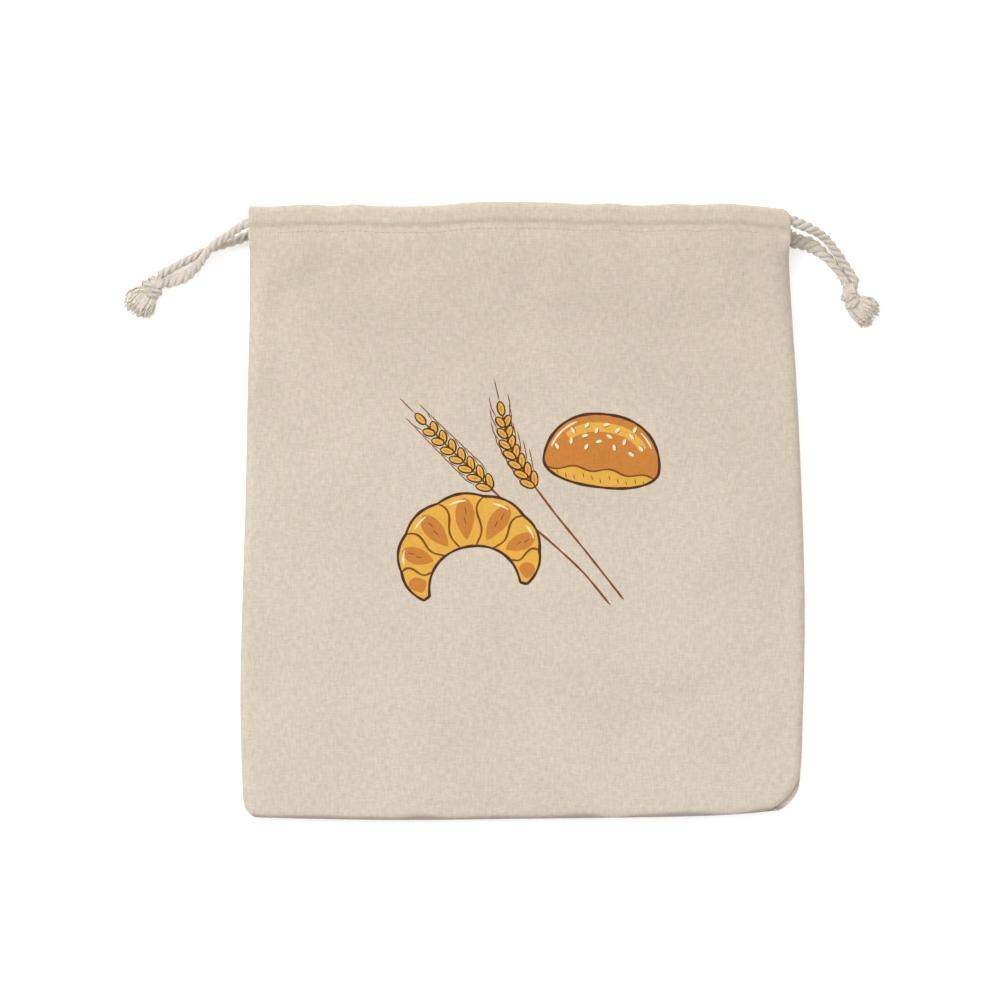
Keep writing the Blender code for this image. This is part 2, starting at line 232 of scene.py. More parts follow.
@dataclass(frozen=True)
class Ripples:
    """Seeded, smooth unevenness, as the sum of faint waves in all directions."""

    length: float
    height: float
    seed: int
    stretch_x: float = 1.0
    stretch_y: float = 1.0
    waves: int = 28

    def at(self, x: np.ndarray, y: np.ndarray) -> np.ndarray:
        """Height of the unevenness.

        Args:
            x: places across, in millimetres.
            y: places up the bag, in millimetres.

        Returns:
            The height at each place, in millimetres.
        """
        rng = np.random.default_rng(self.seed)
        angles = rng.uniform(0, 2 * math.pi, self.waves)
        lengths = self.length * rng.uniform(0.65, 1.6, self.waves)
        phases = rng.uniform(0, 2 * math.pi, self.waves)
        total = np.zeros(np.broadcast(x, y).shape)
        for angle, length, phase in zip(angles, lengths, phases):
            run = x * math.cos(angle) / self.stretch_x + y * math.sin(angle) / self.stretch_y
            total = total + np.cos(run * 2 * math.pi / length + phase)
        return total * self.height * math.sqrt(2 / self.waves)


class MeshDraft:
    """Points, faces and their texture places, gathered until they become one mesh."""

    def __init__(self) -> None:
        """Starts with nothing in it."""
        self.points: list[np.ndarray] = []
        self.shades: list[np.ndarray] = []
        self.count = 0
        self.faces: list[tuple[int, ...]] = []
        self.places: list[tuple] = []
        self.slots: list[int] = []

    def add_points(self, points: np.ndarray, shades: np.ndarray | None = None) -> int:
        """Adds points.

        Args:
            points: array of places in millimetres, with three columns.
            shades: how much painted seam shade each has, or None for none.

        Returns:
            The index of the first of them.
        """
        first = self.count
        self.points.append(np.asarray(points, dtype=float).reshape(-1, 3) * MM)
        added = len(self.points[-1])
        self.shades.append(np.zeros(added) if shades is None else np.asarray(shades, dtype=float).reshape(-1))
        self.count += added
        return first

    def add_face(self, corners: Sequence[int], places: Sequence, slot: int = 0) -> None:
        """Adds a face.

        Args:
            corners: indices of its points, anticlockwise from outside.
            places: a texture place for each corner.
            slot: index of its material slot.
        """
        self.faces.append(tuple(corners))
        self.places.append(tuple((float(place[0]), float(place[1])) for place in places))
        self.slots.append(slot)

    def finished(
        self,
        name: str,
        materials: Sequence[bpy.types.Material],
        crease: float | None = None,
    ) -> bpy.types.Object:
        """Makes the mesh and its object.

        Args:
            name: the object's name.
            materials: what goes in its material slots.
            crease: angle in degrees above which an edge stays sharp, or None for none.

        Returns:
            The object, linked to the scene.
        """
        mesh = bpy.data.meshes.new(name)
        mesh.from_pydata(np.concatenate(self.points).tolist(), [], self.faces)
        mesh.polygons.foreach_set("material_index", self.slots)
        layer = mesh.uv_layers.new(name="cloth_run")
        layer.data.foreach_set("uv", [value for face in self.places for place in face for value in place])
        # Share of painted seam shade at each point.
        shade = mesh.attributes.new("painted_seam_shade", "FLOAT", "POINT")
        shade.data.foreach_set("value", np.concatenate(self.shades))
        mesh.shade_smooth()
        if crease is not None:
            mesh.set_sharp_from_angle(angle=math.radians(crease))
        for material in materials:
            mesh.materials.append(material)
        obj = bpy.data.objects.new(name, mesh)
        bpy.context.scene.collection.objects.link(obj)
        return obj


@dataclass(frozen=True)
class BagShape:
    """The empty bag's form in millimetres: its outline, heights, gathers, soft folds and wrinkles."""

    solid_cloth: float = 1.0
    cord: float = 4.4
    cord_room: float = 0.6
    seam_gap: float = 0.8
    mouth_gap: float = 4.8
    upper_lane_lead: float = 0.4
    stitch_line: float = 14.0
    hem_edge: float = 17.0
    body_start: float = 19.0
    hem_inset: float = 12.8
    sewn_from: float = 19.0
    sewn_to: float = 31.0
    gather_reach: float = 75.0
    top_corners: Corners = Corners(1.5, 5.0)
    front_corners: Corners = Corners(9.0, 23.0)
    back_corners: Corners = Corners(9.0, 14.0)
    crest_share: float = 0.80
    stitch_lift: float = 2.6
    lift_from: float = 10.0
    edges: tuple[Edge, ...] = (
        Edge(-164.8, -148.8, 146.8),
        Edge(-138.0, -150.0, 149.0),
        Edge(-113.0, -150.7, 149.8),
        Edge(-90.0, -150.8, 150.5),
        Edge(-47.0, -149.7, 150.8),
        Edge(10.0, -148.0, 149.2),
        Edge(72.0, -146.8, 146.4),
        Edge(104.0, -145.9, 144.2),
        Edge(140.0, -145.4, 142.1),
        Edge(164.8, -145.2, 141.9),
    )
    levels: tuple[Level, ...] = (
        Level(-164.8, 6.6, 3.4, 4.2, 3.0),
        Level(-140.0, 7.0, 3.4, 4.2, 3.0),
        Level(-60.0, 7.3, 3.4, 4.4, 3.0),
        Level(10.0, 7.4, 3.4, 4.6, 3.2),
        Level(60.0, 8.0, 3.6, 5.4, 3.8),
        Level(95.0, 9.8, 4.2, 7.2, 5.0),
        Level(120.0, 12.3, 5.0, 9.5, 6.4),
        Level(143.0, 14.6, 5.6, 11.0, 7.5),
        Level(164.8, 14.8, 5.6, 11.0, 7.5),
    )
    top_rows: tuple = (
        (-150.0, 162.8),
        (-133.0, 162.4),
        (-113.0, 163.4),
        (-101.0, 162.7),
        (-90.0, 163.5),
        (-77.0, 162.6),
        (-48.0, 162.7),
        (-28.0, 164.5),
        (0.0, 164.8),
        (18.0, 164.4),
        (34.0, 163.5),
        (47.0, 164.0),
        (60.0, 162.9),
        (82.0, 163.8),
        (93.0, 163.2),
        (105.0, 163.9),
        (120.0, 163.0),
        (133.0, 161.6),
        (150.0, 159.8),
    )
    bottom_rows: tuple = (
        (-150.0, -163.1),
        (-110.0, -164.2),
        (-60.0, -164.8),
        (0.0, -164.1),
        (60.0, -163.4),
        (110.0, -162.0),
        (150.0, -158.4),
    )
    gathers: tuple[Gather, ...] = (
        Gather(-119.0, 12.0, 0.7),
        Gather(-91.0, 10.0, 1.0),
        Gather(-58.0, 13.0, 0.5),
        Gather(-14.0, 16.0, 1.0),
        Gather(20.0, 11.0, 0.6),
        Gather(46.0, 10.0, 0.9),
        Gather(82.0, 12.0, 0.8),
        Gather(107.0, 11.0, 1.0),
    )
    folds: tuple[Fold, ...] = (
        Fold(-134.0, 109.0, -99.0, 134.0, 9.0, 1.1),
        Fold(-88.0, 126.0, -30.0, 140.0, 8.0, 0.9),
        Fold(-129.0, 56.0, -131.0, 96.0, 8.0, 0.6),
        Fold(84.0, 134.0, 130.0, 132.0, 8.0, 0.8),
        Fold(-6.0, 98.0, 6.0, 132.0, 8.0, 0.4),
        Fold(56.0, -118.0, 104.0, -92.0, 11.0, 0.6),
        Fold(-96.0, -128.0, -40.0, -132.0, 11.0, 0.5),
        Fold(60.0, 60.0, 128.0, 48.0, 12.0, 0.5),
        Fold(-110.0, -10.0, -60.0, 2.0, 14.0, 0.4),
    )
    ripples: tuple[Ripples, ...] = (
        Ripples(46.0, 0.16, 11, stretch_x=1.5),
        Ripples(19.0, 0.055, 12, stretch_y=1.3),
        Ripples(8.0, 0.016, 13),
    )
    pucker_length: float = 9.0
    pucker_height: float = 0.14
    pucker_reach: float = 7.0

    @property
    def wrap(self) -> float:
        """From a cord's centre to the middle of the cloth round it."""
        return self.cord / 2 + self.cord_room + self.solid_cloth / 2

    @property
    def lane_height(self) -> float:
        """From a heading's lowest face to the middle of its cords."""
        return self.solid_cloth / 2 + self.wrap

    @property
    def upper_lane(self) -> float:
        """From the top line down to the cord nearer it."""
        return self.lane_height + self.upper_lane_lead

    @property
    def lower_lane(self) -> float:
        """From the top line down to the cord further from it."""
        return self.upper_lane + self.cord + self.cord_room

    @property
    def front_floor(self) -> float:
        """Height of the front heading's lowest face."""
        return 2 * self.wrap + self.solid_cloth + self.mouth_gap

    @cached_property
    def top(self) -> float:
        """Y of the top line at the middle of the bag."""
        return float(self.top_line(0.0))

    @cached_property
    def bottom(self) -> float:
        """Y of the bottom line at the middle of the bag."""
        return float(self.bottom_line(0.0))

    def top_line(self, x: np.ndarray | float) -> np.ndarray:
        """Y of the mouth's edge at places across."""
        return SmoothLine(self.top_rows).at(x)

    def bottom_line(self, x: np.ndarray | float) -> np.ndarray:
        """Y of the bottom edge at places across."""
        return SmoothLine(self.bottom_rows).at(x)

    def edge_x(self, side: Side, y: np.ndarray | float) -> np.ndarray:
        """X of one of the bag's sides at places up the bag."""
        column = side.name.lower()
        return SmoothLine(tuple((row.y, getattr(row, column)) for row in self.edges)).at(y)

    def level(self, column: str, y: np.ndarray | float) -> np.ndarray:
        """A named column of the levels at places up the bag."""
        return SmoothLine(tuple((row.y, getattr(row, column)) for row in self.levels)).at(y)

    def tunnel_end(self, side: Side) -> float:
        """X where the headings' tunnels end."""
        return float(self.edge_x(side, self.top)) - side.value * self.hem_inset

    def gather(self, x: np.ndarray | float) -> np.ndarray:
        """How far the front heading puffs up at places across."""
        x = np.asarray(x)
        waves = [wave.rise * np.exp(-(((x - wave.x) / wave.half_width) ** 2)) for wave in self.gathers]
        return np.sum(waves, axis=0)

    def lift(self, below: np.ndarray | float) -> np.ndarray:
        """How far the cords hold up the front cloth at and past its stitch line."""
        rise = eased(self.lift_from, self.stitch_line, below)
        return self.stitch_lift * rise * (1 - eased(self.body_start, self.gather_reach, below))

    def trough(self, x: np.ndarray, y: np.ndarray) -> np.ndarray:
        """How far the soft folds lower the front cloth.

        Args:
            x: places across.
            y: places up the bag.

        Returns:
            The depth at each place.
        """
        lowered = np.zeros(np.broadcast(x, y).shape)
        for fold in self.folds:
            along_x, along_y = fold.x1 - fold.x0, fold.y1 - fold.y0
            share = ((x - fold.x0) * along_x + (y - fold.y0) * along_y) / (along_x**2 + along_y**2)
            share = np.clip(share, 0.0, 1.0)
            away = np.hypot(x - fold.x0 - share * along_x, y - fold.y0 - share * along_y) / fold.half_width
            lowered = lowered + fold.depth * np.exp(-away * away)
        return lowered

    def wrinkles(self, x: np.ndarray, y: np.ndarray) -> np.ndarray:
        """Fine unevenness of the front cloth, with small puckers at the stitch line.

        Args:
            x: places across.
            y: places up the bag.

        Returns:
            The height at each place.
        """
        height = sum(ripple.at(x, y) for ripple in self.ripples)
        from_stitches = (self.top_line(x) - y - self.stitch_line) / self.pucker_reach
        phase = Ripples(40.0, 1.6, 21).at(x, 0.0 * y)
        pucker = np.cos(x * 2 * math.pi / self.pucker_length + phase) * self.pucker_height
        return height + pucker * np.exp(-from_stitches * from_stitches)

    def front_height(self, x: np.ndarray, y: np.ndarray) -> np.ndarray:
        """Height of the front cloth's middle where it lies flat.

        Args:
            x: places across.
            y: places up the bag.

        Returns:
            The height at each place.
        """
        below = self.top_line(x) - y
        flat = self.level("front", y) - self.trough(x, y) + self.wrinkles(x, y) + self.lift(below)
        return flat + self.gather(x) * (1 - eased(self.body_start, self.gather_reach, below))

    def front_normal(self, x: np.ndarray, y: np.ndarray, reach: float = 0.2) -> np.ndarray:
        """Direction out of the front cloth where it lies flat.

        Args:
            x: places across.
            y: places up the bag.
            reach: how far apart the heights are taken that give the slope.

        Returns:
            A unit vector for each place.
        """
        slope_x = (self.front_height(x + reach, y) - self.front_height(x - reach, y)) / (2 * reach)
        slope_y = (self.front_height(x, y + reach) - self.front_height(x, y - reach)) / (2 * reach)
        return unit(np.stack([-slope_x, -slope_y, np.ones_like(slope_x)], axis=-1))

    def lane_point(self, x: np.ndarray, lane: float, panel: Panel) -> np.ndarray:
        """Middle of a cord inside a heading.

        Args:
            x: places across.
            lane: how far below the top line the cord lies.
            panel: the cloth whose heading it is in.

        Returns:
            A point for each place.
        """
        x = np.asarray(x, dtype=float)
        floor = self.front_floor + self.gather(x) if panel is Panel.FRONT else np.zeros_like(x)
        return np.stack([x, self.top_line(x) - lane, floor + self.lane_height], axis=-1)


def corner_inset(distance: np.ndarray | float, radius: float) -> np.ndarray | float:
    """How far a rounded corner draws a side in.

    Args:
        distance: how far from the end of that side.
        radius: the corner's radius.

    Returns:
        The distance that the side stands in.
    """
    reach = np.clip(radius - distance, 0.0, radius)
    return radius - np.sqrt(radius**2 - reach**2)


def quarter(t: np.ndarray | float) -> tuple:
    """A place on the quarter ellipse from a seam to flat cloth.

    Args:
        t: 0 at the seam and 1 where the cloth is flat.

    Returns:
        The share of its width and the share of its height.
    """
    angle = np.asarray(t) * math.pi / 2
    return 1 - np.cos(angle), np.sin(angle)


@dataclass
class ClothGrid:
    """Rows and columns of points on the middle of a cloth, with directions and texture places."""

    points: np.ndarray
    stitch_row: int = 0
    flat_rows: tuple[int, int] = (0, 1)
    flat_columns: tuple[int, int] = (0, 1)

    @cached_property
    def normals(self) -> np.ndarray:
        """Direction out of the cloth's right side at each point."""
        down = np.gradient(self.points, axis=0)
        along = np.gradient(self.points, axis=1)
        return unit(np.cross(down, along))

    @cached_property
    def places(self) -> np.ndarray:
        """Texture places in metres: X and Y where the cloth lies flat, and from there on the cloth's
        own length round its folds and edges."""
        u, v = self.points[:, :, 0].copy(), self.points[:, :, 1].copy()
        (top, low), (first, last) = self.flat_rows, self.flat_columns
        across = np.linalg.norm(np.diff(self.points, axis=1), axis=2)
        across *= np.sign(u[top, last] - u[top, first])
        u[:, :first] = u[:, [first]] - np.cumsum(across[:, :first][:, ::-1], axis=1)[:, ::-1]
        u[:, last + 1 :] = u[:, [last]] + np.cumsum(across[:, last:], axis=1)
        down = np.linalg.norm(np.diff(self.points, axis=0), axis=2)
        v[:top] = v[[top]] + np.cumsum(down[:top][::-1], axis=0)[::-1]
        v[low + 1 :] = v[[low]] - np.cumsum(down[low:], axis=0)
        return np.stack([u, v], axis=-1) * MM


@dataclass
class ClothCut:
    """One cloth of the bag: its heading over the cords, its body and its seam allowances."""

    shape: BagShape
    panel: Panel
    columns: int = 156
    body_rows: int = 132
    round_steps: int = 6
    fold_steps: int = 12
    outer_offset: float = 0.5
    inner_offset: float = 0.2
    allowances: tuple[float, ...] = (0.3, 2.6, 5.0)
    allowance_drop: float = 0.9
    allowance_lift: float = 0.35
    # Painted shade along the side seams and the bottom seam: how wide its bands are and how strong.
    side_band: float = 3.4
    bottom_band: float = 2.9
    painted_side_shade: float = 0.24
    painted_bottom_shade: float = 1.0

    @cached_property
    def column_sides(self) -> np.ndarray:
        """-1 for a column in the left rounding, 1 in the right rounding and 0 between them."""
        return np.array([-1] * self.round_steps + [0] * (self.columns + 1) + [1] * self.round_steps)

    @cached_property
    def column_places(self) -> np.ndarray:
        """Place of each column in its own rounding, or along the flat middle."""
        left = [k / self.round_steps for k in range(self.round_steps)]
        middle = [k / self.columns for k in range(self.columns + 1)]
        right = [1 - k / self.round_steps for k in range(1, self.round_steps + 1)]
        return np.array(left + middle + right)

    def across(self, left: float, right: float, width: float) -> tuple[np.ndarray, np.ndarray]:
        """Places across of one row.

        Args:
            left: X of its left end.
            right: X of its right end.
            width: how wide the roundings are.

        Returns:
            X, and the share of the flat cloth's height, of each column.
        """
        inset, rise = quarter(self.column_places)
        middle = mixed(left + width, right - width, self.column_places)
        ends = np.where(self.column_sides < 0, left + inset * width, right - inset * width)
        flat = self.column_sides == 0
        return np.where(flat, middle, ends), np.where(flat, 1.0, rise)

    def heading_section(self) -> list[Station]:
        """Section of a heading, from the flat layer's lower edge round the top fold.

        Returns:
            Its stations, down to the lower edge of the layer that arches over the cords.
        """
        shape = self.shape
        flat = shape.solid_cloth / 2
        pressed = flat + shape.solid_cloth + shape.seam_gap
        crest = shape.lane_height + shape.wrap
        flat_layer = np.linspace(shape.hem_edge, shape.lane_height, 10)[:-1]
        section = [Station(below, flat, 1.0) for below in flat_layer]
        for k in range(self.fold_steps + 1):
            angle = math.pi * k / self.fold_steps
            below = shape.lane_height - shape.wrap * math.sin(angle)
            inset = 1 - float(eased(0.25, 0.5, k / self.fold_steps))
            section.append(Station(below, shape.lane_height - shape.wrap * math.cos(angle), inset))
        for below in np.linspace(shape.lane_height, shape.stitch_line, 12)[1:]:
            drop = float(eased(shape.lower_lane - 1.2, shape.stitch_line, below))
            section.append(Station(below, mixed(crest, pressed, drop), 0.0))
        return section + [Station(below, pressed, 0.0) for below in (shape.stitch_line + 1.5, shape.hem_edge)]

    def heading_row(self, station: Station, least_inset: float) -> np.ndarray:
        """One row of the heading.

        Args:
            station: its place in the section.
            least_inset: how far inside the sides it ends at least.

        Returns:
            A point for each column.
        """
        shape = self.shape
        front = self.panel is Panel.FRONT
        y = shape.top - station.below
        inset = max(least_inset, station.inset * shape.hem_inset)
        left = shape.edge_x(Side.LEFT, y) + inset + corner_inset(station.below, shape.top_corners.left)
        right = shape.edge_x(Side.RIGHT, y) - inset - corner_inset(station.below, shape.top_corners.right)
        width = shape.level(f"{self.panel.value}_round", shape.top - shape.body_start)
        x, _ = self.across(float(left), float(right), float(width))
        row_y = shape.top_line(x) - station.below
        height = np.full_like(x, station.height)
        if front:
            height = np.minimum(height, mixed(shape.lane_height, height, shape.crest_share))
            height += shape.front_floor + shape.gather(x) + shape.lift(station.below)
            creased = float(eased(shape.lane_height, shape.stitch_line, station.height + 4))
            height += shape.wrinkles(x, row_y) * creased
        return np.stack([x, row_y, height], axis=-1)

    def body_y(self, x: np.ndarray | float, share: float, bottom_t: float, width: float) -> np.ndarray:
        """Y of a body row.

        Args:
            x: places across.
            share: share of the way down the flat body.
            bottom_t: place in the bottom rounding, 1 above it.
            width: how wide the bottom rounding is.

        Returns:
            Y at each place.
        """
        low = self.shape.bottom_line(x) + self.shape.solid_cloth / 2
        if bottom_t == 1.0:
            return mixed(self.shape.top_line(x) - self.shape.body_start, low + width, share)
        return low + width * quarter(bottom_t)[0]

    def body_row(self, share: float, bottom_t: float) -> np.ndarray:
        """One row of the body, which rounds off to the seam at the sides and the bottom.

        Args:
            share: share of the way down the flat body.
            bottom_t: place in the bottom rounding, 1 above it.

        Returns:
            A point for each column.
        """
        shape = self.shape
        front = self.panel is Panel.FRONT
        column = f"{self.panel.value}_round"
        bottom_width = float(shape.level(column, shape.bottom))
        y = float(self.body_y(0.0, share, bottom_t, bottom_width))
        corners = shape.front_corners if front else shape.back_corners
        half = shape.solid_cloth / 2
        left = shape.edge_x(Side.LEFT, y) + half + corner_inset(y - shape.bottom, corners.left)
        right = shape.edge_x(Side.RIGHT, y) - half - corner_inset(y - shape.bottom, corners.right)
        x, side_rise = self.across(float(left), float(right), float(shape.level(column, y)))
        point_y = self.body_y(x, share, bottom_t, bottom_width)
        seam = shape.level("seam", point_y)
        if front:
            flat = shape.front_height(x, point_y)
            seam = seam + shape.seam_gap / 2
        else:
            flat = np.full_like(x, half)
            seam = seam - shape.seam_gap / 2
        seam = mixed(flat, seam, eased(shape.sewn_from, shape.sewn_to, shape.top_line(x) - point_y))
        height = mixed(seam, flat, side_rise * quarter(bottom_t)[1])
        return np.stack([x, point_y, height], axis=-1)

    def turned_in(self, points: np.ndarray) -> np.ndarray:
        """Adds the seam allowances that lie inside the bag.

        Args:
            points: rows and columns of the cloth down to its seams.

        Returns:
            The same grid with rows added below it and columns at both sides.
        """
        normals = ClothGrid(points).normals
        lift = self.allowance_lift if self.panel is Panel.FRONT else -self.allowance_lift
        rows = [points[-1] + np.array([0.0, run + self.allowance_drop, lift]) for run in self.allowances]
        sewn = eased(self.shape.sewn_from, self.shape.sewn_to, self.shape.top - points[:, 0, 1])
        tall = np.concatenate([points, np.array(rows)])
        count = len(points)
        sides = []
        for end in (0, -1):
            inwards = -math.copysign(1.0, points[0, end, 0])
            added = []
            for run in self.allowances:
                column = tall[:, end].copy()
                outwards = normals[:, end] * (1.0 if self.panel is Panel.FRONT else -1.0)
                column[:count] -= outwards * self.allowance_drop
                column[:, 0] += inwards * run
                column[:count, 2] += lift * sewn
                added.append(column)
            sides.append(np.stack(added, axis=1))
        return np.concatenate([sides[0][:, ::-1], tall, sides[1]], axis=1)

    @cached_property
    def grid(self) -> ClothGrid:
        """The cloth's middle as rows from its turned-in layer down to its bottom seam."""
        section = self.heading_section()
        front = self.panel is Panel.FRONT
        if not front:
            section = section[::-1]
        least_inset = 0.0 if front else self.shape.hem_inset
        off_line = [abs(station.below - self.shape.stitch_line) for station in section]
        stitched = min(range(len(section) // 2, len(section)), key=off_line.__getitem__)
        rows = [self.heading_row(station, least_inset) for station in section]
        rows += [self.body_row(k / self.body_rows, 1.0) for k in range(self.body_rows)]
        rows += [self.body_row(1.0, 1 - k / self.round_steps) for k in range(self.round_steps + 1)]
        points = self.turned_in(np.array(rows))
        if not front:
            points = points[:, ::-1]
        first = len(self.allowances) + self.round_steps
        flat_rows = (len(section), len(section) + self.body_rows)
        return ClothGrid(points, stitched, flat_rows, (first, first + self.columns))

    def rows_between(self, low: float, high: float) -> tuple[int, int]:
        """First and last row of the flat body between two heights up the bag."""
        middle = self.grid.points[:, self.grid.points.shape[1] // 2, 1]
        rows = [row for row in range(*self.grid.flat_rows) if low <= middle[row] <= high]
        return rows[0], rows[-1]

    def columns_between(self, low: float, high: float) -> tuple[int, int]:
        """First and last column of the flat body between two places across."""
        middle = self.grid.points[self.grid.points.shape[0] // 2, :, 0]
        columns = [column for column in range(*self.grid.flat_columns) if low <= middle[column] <= high]
        return columns[0], columns[-1]

    @cached_property
    def right_side(self) -> np.ndarray:
        """Points on the cloth's right side."""
        return self.grid.points + self.grid.normals * self.outer_offset

    @cached_property
    def wrong_side(self) -> np.ndarray:
        """Points on the cloth's wrong side."""
        return self.grid.points - self.grid.normals * self.inner_offset

    @cached_property
    def painted_seam_shades(self) -> np.ndarray:
        """How much painted shade along the seams each point has, most along the bottom."""
        shape = self.shape
        x, y = self.grid.points[:, :, 0], self.grid.points[:, :, 1]
        aside = np.minimum(x - shape.edge_x(Side.LEFT, y), shape.edge_x(Side.RIGHT, y) - x)
        above = y - shape.bottom_line(x)
        uneven = 1 + Ripples(31.0, 0.22, 41).at(x, y)
        sewn = eased(shape.sewn_from, shape.sewn_to, shape.top_line(x) - y)
        beside = self.painted_side_shade * (1 - eased(0.3, 1.0, aside / (self.side_band * uneven))) * sewn
        below = self.painted_bottom_shade * (1 - eased(0.35, 1.0, above / (self.bottom_band * uneven)))
        return np.maximum(beside, below)

    def add_to(self, draft: MeshDraft, patch: tuple[int, int, int, int] | None = None) -> np.ndarray:
        """Adds both sides of the cloth and the edges between them.

        Args:
            draft: the mesh that takes them.
            patch: first and last row and column of the right side's faces that are left out.

        Returns:
            The index of each point of the right side, in rows and columns.
        """
        places = self.grid.places
        rows, columns = places.shape[:2]
        order = np.arange(rows * columns).reshape(rows, columns)
        outer = draft.add_points(self.right_side, self.painted_seam_shades) + order
        inner = draft.add_points(self.wrong_side) + order
        for r in range(rows - 1):
            for c in range(columns - 1):
                loop = ((r, c), (r + 1, c), (r + 1, c + 1), (r, c + 1))
                at = [places[corner] for corner in loop]
                if patch is None or not (patch[0] <= r < patch[1] and patch[2] <= c < patch[3]):
                    draft.add_face([outer[corner] for corner in loop], at)
                draft.add_face([inner[corner] for corner in reversed(loop)], at[::-1])
        border = [(r, 0) for r in range(rows)] + [(rows - 1, c) for c in range(1, columns)]
        border += [(r, columns - 1) for r in range(rows - 2, -1, -1)]
        border += [(0, c) for c in range(columns - 2, 0, -1)]
        for here, there in zip(border, border[1:] + border[:1]):
            corners = [outer[there], outer[here], inner[here], inner[there]]
            draft.add_face(corners, [places[there], places[here], places[here], places[there]])
        return outer


class NodeBoard:
    """A material and the nodes that are set on it."""

    def __init__(self, name: str) -> None:
        """Starts a material with only its output.

        Args:
            name: the material's name.
        """
        self.material = bpy.data.materials.new(name)
        self.material.use_nodes = True
        self.tree = self.material.node_tree
        self.tree.nodes.clear()

    def node(self, kind: str, inputs: dict | None = None, **settings: object) -> bpy.types.Node:
        """Adds a node.

        Args:
            kind: its type, without the leading ShaderNode.
            inputs: a number, colour or output socket for each input, by name or index.
            settings: values of the node's own properties.

        Returns:
            The node.
        """
        made = self.tree.nodes.new(f"ShaderNode{kind}")
        for name, value in settings.items():
            setattr(made, name, value)
        for key, value in (inputs or {}).items():
            if isinstance(value, Socket):
                self.tree.links.new(value, made.inputs[key])
            else:
                made.inputs[key].default_value = value
        return made

    def math(self, operation: str, a: object, b: object = 0.0, c: object = 0.0) -> Socket:
        """Adds a sum, product or other operation on numbers and returns its result."""
        return self.node("Math", {0: a, 1: b, 2: c}, operation=operation).outputs[0]

    def scaled(self, vector: Socket, x: float, y: float) -> Socket:
        """Texture places in cells of 1 / x by 1 / y metres."""
        return self.node("Mapping", {"Vector": vector, "Scale": (x, y, 1.0)}).outputs[0]

    def noise(self, vector: Socket, scale: float = 1.0, detail: float = 2.0) -> Socket:
        """Smooth noise from 0 to 1, mostly near 0.5."""
        return self.node("TexNoise", {"Vector": vector, "Scale": scale, "Detail": detail}).outputs["Fac"]

    def ranged(self, value: Socket, low: float, high: float, to_low: float, to_high: float) -> Socket:
        """Smooth step from to_low, up to low, to to_high, past high."""
        inputs = {"Value": value, "From Min": low, "From Max": high, "To Min": to_low, "To Max": to_high}
        return self.node("MapRange", inputs, interpolation_type="SMOOTHSTEP").outputs[0]

    def blend(self, share: object, a: object, b: object, kind: str = "MIX") -> Socket:
        """Blend of two colours."""
        return self.node("Mix", {0: share, 6: a, 7: b}, data_type="RGBA", blend_type=kind).outputs[2]

    def shade(self, colour: object, strength: Socket) -> Socket:
        """A colour made lighter or darker by a factor."""
        grey = self.node("CombineColor", {0: strength, 1: strength, 2: strength}).outputs[0]
        return self.blend(1.0, colour, grey, "MULTIPLY")

    def finish(
        self,
        colour: Socket,
        height: Socket,
        depth: float,
        roughness: float,
        sheen: float,
    ) -> bpy.types.Material:
        """Adds the matt shader with its bump.

        Args:
            colour: its base colour.
            height: the surface's relief from 0 to 1.
            depth: how deep that relief is, in metres.
            roughness: how matt it is.
            sheen: how much light its fibres catch at a grazing view.

        Returns:
            The finished material.
        """
        bump = self.node("Bump", {"Height": height, "Distance": depth, "Strength": 1.0})
        settings = {
            "Base Color": colour,
            "Normal": bump.outputs[0],
            "Roughness": roughness,
            "Specular IOR Level": 0.25,
            "Sheen Weight": sheen,
            "Sheen Roughness": 0.6,
        }
        shader = self.node("BsdfPrincipled", settings)
        self.node("OutputMaterial", {"Surface": shader.outputs[0]})
        return self.material


